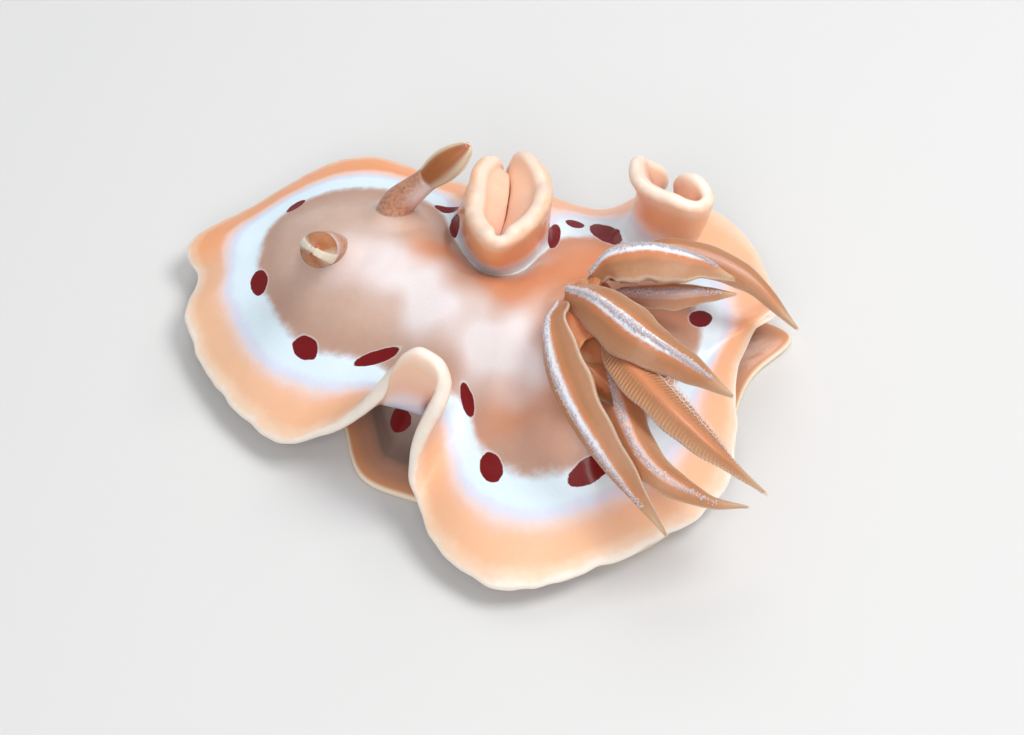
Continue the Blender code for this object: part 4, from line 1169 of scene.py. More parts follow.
def raise_relief(mesh):
    """Collars, low swells and fine unevenness, along each point's normal."""
    points = read_points(mesh, "co") / MM
    band = np.empty(len(points))
    mesh.attributes["band"].data.foreach_get("value", band)
    lift = sum(height * waves(points, size, seed) for height, size, seed in RELIEF)
    lift[points[:, 2] < RELIEF_START] = 0.0
    mounds = [(row[1], SHEATH_RADIUS, SHEATH_HEIGHT, SHEATH_DIP) for row in HORNS]
    mounds.append((GILL_PLACE, GILL_POCKET_RADIUS, GILL_POCKET_HEIGHT, GILL_POCKET_DIP))
    for mound in mounds:
        lift += np.where(band < 0, collar(points, *mound), 0)
    points += read_points(mesh, "normal") * lift[:, None]
    mesh.vertices.foreach_set("co", (points * MM).ravel())
    mesh.update()


def make_muzzle():
    """The blunt muzzle under the front of the mantle, with its lips round the mouth."""
    wide, high, thick = MUZZLE_LIPS
    slit_wide, slit_high = MUZZLE_SLIT
    lips_out, slit_in = MUZZLE_RELIEF
    rings, light = [], []
    for theta in np.linspace(0.02, 1, MUZZLE_ROWS) * math.pi * 0.98:
        ring = []
        for phi in np.linspace(0, 2 * math.pi, MUZZLE_COLUMNS, endpoint=False):
            y, z = math.sin(theta) * math.cos(phi), math.sin(theta) * math.sin(phi)
            lips = math.exp(-(((math.hypot(y / wide, z / high) - 1) / thick) ** 2))
            slit = math.exp(-((y / slit_wide) ** 2) - (z / slit_high) ** 4)
            ahead = smooth(math.cos(theta) * 2)
            x = math.cos(theta) + ahead * (lips_out * lips - slit_in * slit)
            ring.append(np.array(MUZZLE_PLACE) + np.array((x, y, z)) * MUZZLE_SIZE)
            light.append(0.56 * ahead * lips * (1 - slit))
        rings.append(ring)
    return closed_piece("muzzle", rings, None, SKIN_FIELDS, low=0.62, foot=np.array(light))


def make_mouth_feeler(sign):
    """A short conical feeler beside the mouth."""
    mirror = np.array((1, sign, 1))
    way, first, second = (np.array(v) for v in frame_of(Vector(mirror * MOUTH_FEELER_WAY).normalized()))
    start = np.array(MUZZLE_PLACE) + mirror * MOUTH_FEELER_PLACE
    reached, radius = zip(*MOUTH_FEELER)
    rings, tone = [], []
    for t in np.linspace(0, 1, MOUTH_FEELER_ROWS):
        far = reached[-1] * t
        wide = np.interp(far, reached, radius) * math.sqrt(max(1 - t**6, 0.02))
        wide *= 1 + 0.04 * math.sin(far * 14)
        rings.append(ring_round(start + way * far, first, second, wide, MOUTH_FEELER_COLUMNS))
        tone += [0.2 + 0.4 * smooth((t - 0.35) / 0.6)] * MOUTH_FEELER_COLUMNS
    return closed_piece("mouth_feeler", rings, None, SKIN_FIELDS, low=1.0, foot=np.array(tone))


def skin_material(settings):
    stuff, tree, shader = new_material("slug_skin", 0.2, 0.35)
    band = read_attribute(tree, "band")
    spot, low, foot = (read_attribute(tree, key) for key in ("spot", "low", "foot"))
    clouds = place_group(tree, clouding_group(), patches_per_metre=240.0, finer_share=0.4)
    grains = place_group(tree, clouding_group(), patches_per_metre=1500.0, finer_share=0.6)
    drift = math_node(tree, "MULTIPLY_ADD", clouds.outputs["Patches"], 0.2, -0.1)
    fray = math_node(tree, "MULTIPLY_ADD", grains.outputs["Patches"], 0.05, -0.025)
    wavy = math_node(tree, "ADD", math_node(tree, "ADD", band, drift), fray)
    # A ramp runs from 0 to 1, the bands from the back at the low end to beyond the rim at the high one
    low_end, high_end = -0.3, 1.1
    links = {"Value": wavy, "From Min": low_end, "From Max": high_end}
    place = add_node(tree, "ShaderNodeMapRange", links).outputs["Result"]

    def bands(*stops):
        return ramp(tree, place, [((at - low_end) / (high_end - low_end), shade) for at, shade in stops])

    inner = ((-0.1, settings.white), (0.26, settings.white))
    warm = bands(
        *inner,
        (0.35, colour((222, 226, 244))),
        (0.45, colour((244, 210, 198))),
        (0.58, settings.orange),
        (0.78, settings.orange),
        (0.92, colour((248, 194, 154))),
        (1.02, settings.cream),
    )
    mild = bands(
        *inner,
        (0.4, colour((226, 230, 246))),
        (0.52, colour((248, 220, 204))),
        (0.66, settings.peach),
        (0.82, settings.peach),
        (0.94, colour((255, 228, 204))),
        (1.02, settings.cream),
    )
    skirt = mix_colour(tree, read_attribute(tree, "warm"), mild, warm)
    back = back_colour(tree, settings, clouds, grains, band)
    ragged = math_node(tree, "MULTIPLY_ADD", clouds.outputs["Colour shift"], 0.3, -0.15)
    spot = math_node(tree, "ADD", spot, ragged)
    halo = times(tree, between(tree, spot, -0.2, -0.05), 0.3)
    on_back = times(tree, between(tree, wavy, 0.05, -0.1), math_node(tree, "SUBTRACT", 1.0, halo))
    shade = mix_colour(tree, on_back, skirt, back)
    shade = mix_colour(tree, read_attribute(tree, "beneath"), shade, under_colour(tree, settings, band))
    shade = mix_colour(tree, between(tree, low, 0.0, 0.08), shade, wall_colour(tree, low))
    shade = mix_colour(tree, between(tree, foot, 0.0, 0.08), shade, foot_colour(tree, foot))
    shade = mix_colour(tree, between(tree, spot, -0.03, 0.04), shade, settings.spot)
    finish_surface(tree, shader, shade, 0.05 * MM, (3800.0, 0.6, 0.28, 0.46))
    return stuff


def back_colour(tree, settings, clouds, grains, band):
    """Tan with rusty and pale clouds, darker toward the skirt, with sparse pale specks."""
    tan = mix_colour(tree, clouds.outputs["Patches"], settings.back, colour((222, 190, 172)))
    tan = mix_colour(tree, times(tree, between(tree, band, -0.5, -0.04), 0.5), tan, colour((172, 128, 108)))
    tan = mix_colour(tree, times(tree, read_attribute(tree, "rust"), 0.95), tan, settings.rust)
    back = mix_colour(tree, times(tree, read_attribute(tree, "pale"), 0.95), tan, colour((240, 232, 232)))
    speck = between(tree, grains.outputs["Colour shift"], 0.62, 0.75)
    return mix_colour(tree, times(tree, speck, 0.12), back, colour((250, 236, 226)))


def under_colour(tree, settings, band):
    """The skirt's under face, from its root to its rim."""
    stops = (
        (0.0, colour((206, 218, 246))),
        (0.46, colour((216, 224, 246))),
        (0.6, colour((232, 212, 214))),
        (0.74, colour((240, 190, 164))),
        (0.86, colour((246, 200, 170))),
        (0.95, colour((252, 222, 200))),
        (1.0, settings.cream),
    )
    return ramp(tree, band, stops)


def wall_colour(tree, low):
    """The body's wall, from under the skirt to the foot."""
    stops = (
        (0.0, colour((226, 234, 252))),
        (0.34, colour((220, 226, 244))),
        (0.5, colour((186, 162, 150))),
        (0.8, colour((146, 122, 110))),
        (1.0, colour((128, 102, 90))),
    )
    return ramp(tree, low, stops)


def foot_colour(tree, foot):
    """The foot, from its upper edge over its cream rim to the sole."""
    stops = (
        (0.0, colour((150, 116, 98))),
        (0.2, colour((180, 130, 104))),
        (0.42, colour((206, 142, 100))),
        (0.56, colour((252, 232, 206))),
        (0.75, colour((236, 214, 190))),
        (1.0, colour((206, 180, 160))),
    )
    return ramp(tree, foot, stops)


# Things that stand in rows


def plate_rows_tree():
    """Geometry nodes that stand a copy of a plate on each point, turned and sized by its attributes."""
    if "Plates in a row" in bpy.data.node_groups:
        return bpy.data.node_groups["Plates in a row"]
    tree = bpy.data.node_groups.new("Plates in a row", "GeometryNodeTree")
    for label, kind in (
        ("Geometry", "NodeSocketGeometry"),
        ("Plate", "NodeSocketObject"),
        ("Plate size", "NodeSocketFloat"),
        ("Skin", "NodeSocketMaterial"),
    ):
        tree.interface.new_socket(label, in_out="INPUT", socket_type=kind)
    tree.interface.new_socket("Geometry", in_out="OUTPUT", socket_type="NodeSocketGeometry")
    given = add_node(tree, "NodeGroupInput").outputs
    out = add_node(tree, "NodeGroupOutput")
    turn, size = (
        add_node(tree, "GeometryNodeInputNamedAttribute", {"Name": key}, data_type="FLOAT_VECTOR")
        for key in ("turn", "size")
    )
    turned = add_node(tree, "FunctionNodeEulerToRotation", {"Euler": turn.outputs["Attribute"]})
    scaled = add_node(tree, "ShaderNodeVectorMath", {0: size.outputs["Attribute"]}, operation="SCALE")
    tree.links.new(given["Plate size"], scaled.inputs["Scale"])
    plate = add_node(tree, "GeometryNodeObjectInfo", {"Object": given["Plate"]})
    links = {
        "Points": given["Geometry"],
        "Instance": plate.outputs["Geometry"],
        "Rotation": turned.outputs["Rotation"],
        "Scale": scaled.outputs["Vector"],
    }
    stand = add_node(tree, "GeometryNodeInstanceOnPoints", links)
    real = add_node(tree, "GeometryNodeRealizeInstances", {"Geometry": stand.outputs["Instances"]})
    links = {"Geometry": real.outputs["Geometry"], "Material": given["Skin"]}
    dressed = add_node(tree, "GeometryNodeSetMaterial", links)
    tree.links.new(dressed.outputs["Geometry"], out.inputs["Geometry"])
    return tree


def stand_plates(name, plate, points, turns, sizes, stuff, **attributes):
    """A plain mesh of copies of one plate, one for each point in millimetres."""
    mesh = bpy.data.meshes.new(name + "_points")
    mesh.from_pydata([tuple(p) for p in np.asarray(points) * MM], [], [])
    for key, values in (("turn", turns), ("size", sizes)):
        layer = mesh.attributes.new(key, "FLOAT_VECTOR", "POINT")
        layer.data.foreach_set("vector", np.asarray(values, np.float32).ravel())
    for key, values in attributes.items():
        add_attribute(mesh, key, values)
    thing = new_object(name, mesh)
    modifier = thing.modifiers.new("plates", "NODES")
    modifier.node_group = plate_rows_tree()
    given = {"Plate": plate, "Plate size": 1.0, "Skin": stuff}
    for socket in modifier.node_group.interface.items_tree:
        if socket.in_out == "INPUT" and socket.name in given:
            modifier[socket.identifier] = given[socket.name]
    graph = bpy.context.evaluated_depsgraph_get()
    made = bpy.data.meshes.new_from_object(thing.evaluated_get(graph))
    thing.modifiers.clear()
    thing.data = made
    bpy.data.meshes.remove(mesh)
    if not made.materials:
        made.materials.append(stuff)
    return thing


def join_pieces(name, pieces):
    """One mesh object from several, keeping their attributes."""
    shape = bmesh.new()
    stuffs = []
    for piece in pieces:
        start = len(shape.faces)
        shape.from_mesh(piece.data)
        shape.faces.ensure_lookup_table()
        for face in shape.faces[start:]:
            stuff = piece.data.materials[min(face.material_index, len(piece.data.materials) - 1)]
            if stuff not in stuffs:
                stuffs.append(stuff)
            face.material_index = stuffs.index(stuff)
    mesh = bpy.data.meshes.new(name)
    shape.to_mesh(mesh)
    shape.free()
    for stuff in stuffs:
        mesh.materials.append(stuff)
    for piece in pieces:
        old = piece.data
        bpy.data.objects.remove(piece, do_unlink=True)
        bpy.data.meshes.remove(old)
    mesh.shade_smooth()
    return new_object(name, mesh)


def frame_of(axis):
    """A unit axis and two more at right angles to it."""
    axis = Vector(axis).normalized()
    side = axis.cross(Vector((0, 0, 1)))
    if side.length < 1e-3:
        side = Vector((1, 0, 0))
    side.normalize()
    return axis, side, side.cross(axis).normalized()


def turn_of(x_axis, y_axis, z_axis):
    """The Euler turn that lays a plate's own axes along these."""
    return Matrix((x_axis, y_axis, z_axis)).transposed().to_euler()


def ring_round(middle, first, second, radius, sides):
    turns = np.linspace(0, 2 * math.pi, sides, endpoint=False)[:, None]
    return np.array(middle) + (np.cos(turns) * first + np.sin(turns) * second) * radius


# Rhinophores


# What the feelers' material reads from each point
FEELER_FIELDS = ("stalk", "cream", "crest", "pale")


def club_cream(y, begin):
    """How cream the club is at y from -1 behind to 1 in front."""
    return np.maximum(smooth((-y - begin) / (0.75 - 0.6 * begin)), smooth((y - 0.86) / 0.12))


def club_shape(t):
    """The club's girth along its length, round at the tip."""
    t = np.clip(t, 0, 1)
    return (0.74 + 0.28 * np.sin(math.pi * np.minimum(t * 1.1, 1.0))) * np.sqrt(1 - t**5) + 0.08 * t**8


def club_plate(begin, segments=24):
    """A leaf of the feeler's club: a thin round plate of unit radius, sloping down from its middle line."""
    rings = []
    cream = []
    for radius, height in CLUB_LEAF_SECTION:
        ring = []
        for k in range(segments):
            angle = 2 * math.pi * k / segments
            x, y = radius * math.cos(angle), radius * math.sin(angle)
            ring.append((x, y, height - CLUB_LEAF_SLOPE * abs(x) ** 1.5 + CLUB_LEAF_TILT * y))
            cream.append(club_cream(y, begin))
        rings.append(ring)
    points, faces = capped_tube(rings)
    crest = np.repeat((0.0, 0.6, 1.0, 0.6, 0.0), segments)
    mesh = mesh_of("club_plate", points / MM, faces, cream=cream, crest=crest)
    turn_outward(mesh)
    return mesh


def feeler_material(settings):
    stuff, tree, shader = new_material("feeler_skin", 0.2, 0.3)
    clouds = place_group(tree, clouding_group(), patches_per_metre=700.0, finer_share=0.5)
    grains = place_group(tree, clouding_group(), patches_per_metre=3400.0, finer_share=0.5)
    club = mix_colour(tree, clouds.outputs["Patches"], colour((168, 84, 42)), settings.club)
    club = mix_colour(tree, times(tree, read_attribute(tree, "crest"), 0.3), club, colour((230, 164, 104)))
    club = mix_colour(tree, read_attribute(tree, "cream"), club, colour((246, 232, 206)))
    stalk = mix_colour(tree, clouds.outputs["Patches"], colour((214, 164, 136)), colour((190, 128, 96)))
    speckle = between(tree, grains.outputs["Patches"], 0.44, 0.6)
    stalk = mix_colour(tree, times(tree, speckle, 0.65), stalk, colour((150, 88, 62)))
    dots = between(tree, grains.outputs["Colour shift"], 0.58, 0.7)
    stalk = mix_colour(tree, times(tree, dots, 0.5), stalk, colour((238, 218, 204)))
    shade = mix_colour(tree, read_attribute(tree, "stalk"), club, stalk)
    shade = mix_colour(tree, read_attribute(tree, "pale"), shade, colour((236, 226, 226)))
    finish_surface(tree, shader, shade, 0.03 * MM, (6500.0, 0.5, 0.3, 0.5))
    return stuff


def make_stalk(side, spot, normal, axis, stuff):
    """The feeler's stalk, from inside its sheath round to the feeler's own axis; returns it and its top."""
    middle = spot + normal * STALK_START
    pale_way = unit(np.array(STALK_PALE_WAY))
    rings, pale = [], []
    for k, (lift, radius, lean) in enumerate(STALK):
        way, first, second = (np.array(v) for v in frame_of(normal * (1 - lean) + axis * lean))
        middle = middle + Vector(way) * lift
        ring = ring_round(middle, first, second, radius, STALK_COLUMNS)
        rings.append(ring)
        up = (ring - np.array(middle)) @ pale_way / radius
        tip = 0.35 * smooth((len(STALK) - 9 - k) / 3)
        pale.append(0.8 * smooth((up + 0.1) / 0.7) * smooth((k - STALK_PALE_START) / 4) + tip)
    stalk = closed_piece("stalk_" + side, rings, stuff, FEELER_FIELDS, stalk=1.0, pale=np.concatenate(pale))
    return stalk, middle


def make_keel(side, base, axes, girth, breadth, stuff):
    """The cream line that runs up the front of the club, over its tip and down its back."""
    across, front, axis = axes
    rings = []
    turns = np.linspace(0, 2 * math.pi, KEEL_COLUMNS, endpoint=False)
    for u in np.linspace(-1, 1, KEEL_ROWS):
        t = 1 - abs(u) ** 1.6
        wide = breadth * KEEL_WIDTHS[0 if u < 0 else 1] * (1 - 0.35 * t**3)
        sway = math.copysign(1, -u) * smooth((1 - t) / 0.06)
        middle = base + axis * (t * CLUB_LENGTH + KEEL_LIFT) + front * (girth * club_shape(t) * sway)
        flank = across * wide
        out = (front * sway + axis * (1 - abs(sway))) * KEEL_THICKNESS
        rings.append([tuple(middle + flank * math.cos(a) + out * math.sin(a)) for a in turns])
    return closed_piece("keel_" + side, rings, stuff, FEELER_FIELDS, cream=0.92)


def make_club(side, base, axes, girth, begin, stuff):
    """The solid body of the club, under its leaves."""
    across, front, axis = axes
    rings, cream = [], []
    for t in np.linspace(0, 1, CLUB_ROWS):
        radius = girth * CLUB_CORE * club_shape(t)
        middle = np.array(base + axis * (t * CLUB_LENGTH))
        ring = ring_round(middle, np.array(across), np.array(front), radius, CLUB_COLUMNS)
        rings.append(ring)
        cream.append(club_cream((ring - middle) @ np.array(front) / max(radius, 1e-6), begin))
    return closed_piece("club_" + side, rings, stuff, FEELER_FIELDS, cream=np.concatenate(cream))


def make_club_leaves(side, base, axes, girth, begin, number, stuff):
    """The leaves of the club, one over the other."""
    axis = axes[2]
    thick = CLUB_LEAF_HEIGHT * CLUB_LENGTH / number / CLUB_LEAF_SLOPE
    shares = (np.arange(number) + 0.8) / (number + 0.8)
    spots = [tuple(base + axis * (t * CLUB_LENGTH)) for t in shares]
    sizes = [(radius * MM, radius * MM, thick * MM) for radius in girth * club_shape(shares)]
    turns = [tuple(turn_of(*axes))] * number
    fields = {"stalk": np.zeros(number), "pale": smooth((shares - 0.82) / 0.2) * 0.5}
    plate = hold_plate(club_plate(begin))
    leaves = stand_plates("leaves_" + side, plate, spots, turns, sizes, stuff, **fields)
    bpy.data.objects.remove(plate, do_unlink=True)
    return leaves


def make_horn(row, tree, settings, stuff):
    """One feeler: a speckled stalk out of its sheath and a club of leaves with a cream middle line."""
    side, place, axis, facing, girth, breadth, begin = row
    hit = tree.ray_cast(Vector((place[0] * MM, place[1] * MM, 0.05)), Vector((0, 0, -1)))
    spot, normal = hit[0] / MM, hit[1]
    axis = Vector(axis).normalized()
    front = Vector(facing)
    front = (front - axis * axis.dot(front)).normalized()
    axes = (front.cross(axis), front, axis)
    stalk, base = make_stalk(side, spot, normal, axis, stuff)
    base = base - axis * CLUB_SINK
    pieces = [
        stalk,
        make_club(side, base, axes, girth, begin, stuff),
        make_keel(side, base, axes, girth, breadth, stuff),
        make_club_leaves(side, base, axes, girth, begin, settings.leaves, stuff),
    ]
    return join_pieces("rhinophore_" + side, pieces)


# Gills


# What the gills' material reads from each point
GILL_FIELDS = ("ridge", "along", "frost", "crest", "grain")


def open_line(points, count):
    """Points at equal steps along a smooth open line."""
    points = np.asarray(points, float)
    padded = np.vstack([2 * points[0] - points[1], points, 2 * points[-1] - points[-2]])
    fine = []
    for k in range(1, len(padded) - 2):
        p0, p1, p2, p3 = padded[k - 1 : k + 3]
        for t in np.linspace(0, 1, 24, endpoint=False):
            bend = (2 * p0 - 5 * p1 + 4 * p2 - p3) * t**2 + (3 * p1 - p0 - 3 * p2 + p3) * t**3
            fine.append(0.5 * (2 * p1 + (p2 - p0) * t + bend))
    fine.append(padded[-2])
    fine = np.array(fine)
    reached = np.concatenate([[0.0], np.cumsum(np.linalg.norm(np.diff(fine, axis=0), axis=1))])
    spots = np.linspace(0, reached[-1], count)
    return np.column_stack([np.interp(spots, reached, fine[:, k]) for k in range(3)]), reached[-1]


def leaf_width(t, widest):
    """Half width of a gill leaf along its length, broad from the root and narrow at the tip."""
    body = np.sin(math.pi * np.clip(t, 0, 1) ** 0.8) ** 0.8
    root = 0.62 * (1 - smooth(t / 0.45))
    blunt = np.sqrt(1 - (1 - np.clip(t / 0.13, 0, 1)) ** 2 * 0.97)
    return widest * (0.1 + np.maximum(0.9 * body, root)) * (1 - 0.45 * t**4) * blunt


def wing_share(name, t, sign):
    """How wide a wing is against the leaf's own width, a little wavy along its edge."""
    wings = LEAF_LOOKS[name][4]
    wave = 1 + 0.05 * np.sin(16 * t + 3 * sign + int(name)) + 0.03 * np.sin(37 * t + int(name))
    return wave * np.where(np.asarray(sign) > 0, wings[1], wings[0])


def leaf_frames(name, count):
    """Points along a leaf's ridge, the ways ahead, up and to the side there, and the ridge's length."""
    facing, line = next(row[2:] for row in GILLS if row[0] == name)
    path, length = open_line(line, count)
    ahead = unit(np.gradient(path, axis=0))
    up = np.array(facing, float)
    lift = unit(up - ahead * (ahead @ up)[:, None])
    return path, ahead, lift, np.cross(ahead, lift), length


def leaf_drop(share):
    """How far a wing of a leaf lies below its ridge, in parts of its half width."""
    return LEAF_SLOPE * np.abs(share) ** LEAF_CURVE


def leaf_lift(share, inner, rise):
    """How far the plates stand out of a wing, from their inner ends to their rounded tips."""
    share = np.abs(share)
    inside = smooth((share - inner) / 0.12)
    return rise * inside * (1 - smooth((share - 0.96) / 0.1)) - 0.1 * (1 - inside)


def gill_plate(name, inner, rise, sign):
    """A thin rib across one wing of a leaf that sweeps to the tip, half width 1."""
    top = np.linspace(0.0, 0.95, 11)
    low = np.array((0.92, 0.5, 0.05))
    rings = []
    for y, share in ((-0.5, 0.1), (0.0, 1.0), (0.5, 0.1)):
        upper = -leaf_drop(np.minimum(top, 1.0)) + leaf_lift(top, inner, rise * share)
        x = np.concatenate([top * (0.985 + 0.015 * share), low])
        z = np.concatenate([upper, -leaf_drop(low) - 0.16])
        rings.append(np.column_stack([sign * x, y + PLATE_SWEEP * x**1.4, z]))
    points, faces = capped_tube(rings)
    ridge = np.tile(np.concatenate([top, low]), 3)
    ends = np.zeros(len(ridge) // 3)
    crest = np.concatenate([ends, np.ones(len(top)), np.zeros(len(low)), ends])
    mesh = mesh_of(name, points / MM, faces, ridge=ridge, crest=crest)
    turn_outward(mesh)
    return mesh


def frost_grain():
    """One of the whitish tufts along a leaf's ridge, unit radius."""
    shape = bmesh.new()
    bmesh.ops.create_icosphere(shape, subdivisions=0, radius=1.0)
    mesh = bpy.data.meshes.new("frost_grain")
    shape.to_mesh(mesh)
    shape.free()
    add_attribute(mesh, "crest", np.zeros(len(mesh.vertices)))
    mesh.shade_smooth()
    return mesh


def gill_curl():
    """A thin hair curled into most of a ring of unit radius."""
    rings = []
    start, end = -0.4 * math.pi, 1.35 * math.pi
    for angle in np.linspace(start, end, 15):
        out = np.array((math.cos(angle), math.sin(angle), 0.0))
        share = min(max((angle - start) / (end - start), 0.08), 0.92)
        thick = 0.13 * math.sin(share * math.pi) ** 0.3
        rings.append([
            out * (1 + thick * math.cos(turn)) + np.array((0, 0, thick * math.sin(turn)))
            for turn in np.linspace(0, 2 * math.pi, 5, endpoint=False)
        ])
    points, faces = capped_tube(rings)
    points = points + np.array((0, 0, 1)) * (np.arctan2(points[:, 1], points[:, 0]) / 6)[:, None]
    mesh = mesh_of("gill_curl", points / MM, faces, crest=np.ones(len(points)))
    turn_outward(mesh)
    return mesh


def gill_material(settings):
    stuff, tree, shader = new_material("gill_skin", 0.4, 0.3)
    clouds = place_group(tree, clouding_group(), patches_per_metre=420.0, finer_share=0.4)
    grains = place_group(tree, clouding_group(), patches_per_metre=2400.0, finer_share=0.5)
    ridge = read_attribute(tree, "ridge")
    along = read_attribute(tree, "along")
    leaf = mix_colour(tree, clouds.outputs["Patches"], settings.deep, settings.leaf)
    leaf = mix_colour(tree, times(tree, between(tree, ridge, 0.8, 0.3), 0.6), leaf, settings.deep)
    crest = times(tree, read_attribute(tree, "crest"), between(tree, ridge, 0.3, 0.9))
    leaf = mix_colour(tree, times(tree, crest, 0.4), leaf, colour((240, 190, 146)))
    rim = times(tree, between(tree, ridge, 0.86, 0.98), 0.75)
    leaf = mix_colour(tree, rim, leaf, colour((250, 214, 184)))
    tip = times(tree, between(tree, along, 0.8, 1.0), 0.5)
    leaf = mix_colour(tree, tip, leaf, colour((238, 204, 170)))
    ragged = math_node(tree, "MULTIPLY_ADD", grains.outputs["Patches"], 0.4, -0.2)
    swell = math_node(tree, "MULTIPLY_ADD", clouds.outputs["Patches"], 0.24, -0.12)
    reach = math_node(tree, "ADD", ridge, math_node(tree, "ADD", ragged, swell))
    frost = times(tree, between(tree, reach, 0.32, 0.12), read_attribute(tree, "frost"))
    frost = times(tree, frost, between(tree, along, 0.95, 0.55))
    veil = mix_colour(tree, grains.outputs["Colour shift"], colour((234, 208, 196)), settings.frost)
    shade = mix_colour(tree, frost, leaf, veil)
    shade = mix_colour(tree, read_attribute(tree, "grain"), shade, settings.frost)
    finish_surface(tree, shader, shade, 0.04 * MM, (7000.0, 0.4, 0.32, 0.52))
    return stuff


def leaf_core(name, widest, frost, groove, stuff):
    """The body of a leaf, roof-shaped over a thin blade."""
    path, _, lift, side, _ = leaf_frames(name, LEAF_RINGS)
    top = np.linspace(-1.0, 1.0, 25)
    low = np.array((0.9, 0.45, 0.0, -0.45, -0.9))
    shares = np.linspace(0, 1, LEAF_RINGS)
    crown = 0.05 * np.cos(top * math.pi / 2) - groove * np.exp(-((top / 0.1) ** 2))
    rings = []
    for k, t in enumerate(shares):
        wide = leaf_width(t, widest) * LEAF_CORE
        upper = wide * wing_share(name, t, np.sign(top))
        under = wide * wing_share(name, t, np.sign(low))
        thick = GILL_BLADE * (0.9 - 0.4 * t**2) * min(1.0, 0.3 + t / 0.06)
        below = -leaf_drop(low) * under - thick * (1.2 - 0.8 * np.abs(low))
        sides = np.concatenate([top * upper, low * under])
        heights = np.concatenate([crown - leaf_drop(top) * upper, below])
        rings.append(path[k] + sides[:, None] * side[k] + heights[:, None] * lift[k])
    ridge = np.tile(np.concatenate([np.abs(top), np.full(len(low), 0.9)]), LEAF_RINGS)
    along = np.repeat(shares, len(top) + len(low))
    icing = (0.85 * frost) * smooth((FROST_REACH * 1.15 / widest - ridge) / 0.1) * smooth((0.9 - along) / 0.3)
    fields = {"ridge": ridge, "along": along, "frost": frost, "grain": icing}
    return closed_piece("core_" + name, rings, stuff, GILL_FIELDS, **fields)


def leaf_plates(name, widest, frost, spacing, sign, stuff, plate):
    """The ribs across one wing, swept toward its tip."""
    number = int(leaf_frames(name, 2)[-1] / spacing)
    shares = (np.arange(number) + 0.5) / number
    path, ahead, _, side, _ = leaf_frames(name, number)
    turns, sizes = [], []
    for k, t in enumerate(shares):
        wide = leaf_width(t, widest) * wing_share(name, t, sign)
        turns.append(tuple(turn_of(Vector(side[k]), Vector(ahead[k]), Vector(np.cross(side[k], ahead[k])))))
        sizes.append((wide * MM, spacing * PLATE_FILL * MM, wide * MM))
    fields = {"along": shares, "frost": np.full(number, frost), "grain": np.zeros(number)}
    return stand_plates("plates_" + name, plate, path, turns, sizes, stuff, **fields)


def leaf_grains(name, widest, frost, settings, stuff, plate):
    """Whitish tufts along the ridge that lie across it and fray at its sides."""
    shake = np.random.default_rng(int(name) + 40)
    number = int(settings.grains * frost)
    shares = shake.uniform(0.0, 1.0, number) ** 1.15 * 0.88
    path, ahead, lift, side, _ = leaf_frames(name, LEAF_STEPS)
    spots, turns, sizes = [], [], []
    for t in shares:
        k = int(t * (LEAF_STEPS - 1))
        wide = leaf_width(t, widest)
        reach = FROST_REACH * (1 - 0.45 * t) * (0.8 + 0.2 * math.sin(23 * t + int(name)))
        across = float(np.clip(shake.normal(0, 0.5), -1.15, 1.15)) * reach / wide
        rise = 0.02 + 0.05 * math.cos(across * math.pi / 2) - leaf_drop(across) * wide
        spots.append(path[k] + side[k] * across * wide + lift[k] * rise)
        tilt = shake.normal(0, 0.35)
        first = (Vector(side[k]) * math.cos(tilt) + Vector(ahead[k]) * math.sin(tilt)).normalized()
        top = Vector(lift[k])
        top = (top - first * first.dot(top)).normalized()
        turns.append(tuple(turn_of(first, top.cross(first), top)))
        size = shake.uniform(*TUFT_SIZES) * MM
        sizes.append((size * shake.uniform(*TUFT_STRETCH), size, size * TUFT_HEIGHT))
    fields = dict.fromkeys(("along", "frost", "ridge"), np.zeros(number))
    fields["grain"] = shake.uniform(0.7, 1.0, number) * (1 - 0.3 * shares)
    return stand_plates("grains_" + name, plate, spots, turns, sizes, stuff, **fields)


def leaf_curls(name, widest, settings, stuff, plate):
    """Curled hairs that stand along one edge of a leaf."""
    shake = np.random.default_rng(7)
    path, ahead, lift, side, _ = leaf_frames(name, LEAF_STEPS)
    shares = np.linspace(*CURL_REACH, settings.curls)
    spots, turns, sizes = [], [], []
    for t in shares:
        k = int(t * (LEAF_STEPS - 1))
        wide = leaf_width(t, widest)
        size = CURL_SIZE * (1.15 - 0.6 * t) * shake.uniform(0.85, 1.15)
        spots.append(path[k] - side[k] * (wide + 0.5 * size) - lift[k] * (leaf_drop(1.0) * wide - 0.1))
        tilt = Vector(lift[k] * 0.8 + ahead[k] * shake.uniform(0.1, 0.5) - side[k] * 0.4).normalized()
        first = Vector(ahead[k]).cross(tilt).normalized()
        turns.append(tuple(turn_of(first, tilt.cross(first), tilt)))
        sizes.append((size * MM, size * MM, size * MM))
    blank = np.zeros(len(shares))
    fields = {"along": blank, "frost": blank, "ridge": blank + 0.9, "grain": blank + 0.45}
    return stand_plates("curls_" + name, plate, spots, turns, sizes, stuff, **fields)


def make_leaf(name, widest, settings, stuff, plates):
    """A gill leaf: a core under close rows of ribs, frosted along its ridge."""
    frost, spacing, kind, groove, _ = LEAF_LOOKS[name]
    pieces = [leaf_core(name, widest, frost, groove, stuff)]
    for sign in (-1, 1):
        pieces.append(leaf_plates(name, widest, frost, spacing, sign, stuff, plates[kind, sign]))
    if frost > FROST_LEAST:
        pieces.append(leaf_grains(name, widest, frost, settings, stuff, plates["grain"]))
    if name == CURLED_LEAF:
        pieces.append(leaf_curls(name, widest, settings, stuff, plates["curl"]))
    return join_pieces("gill_leaf_" + name, pieces)


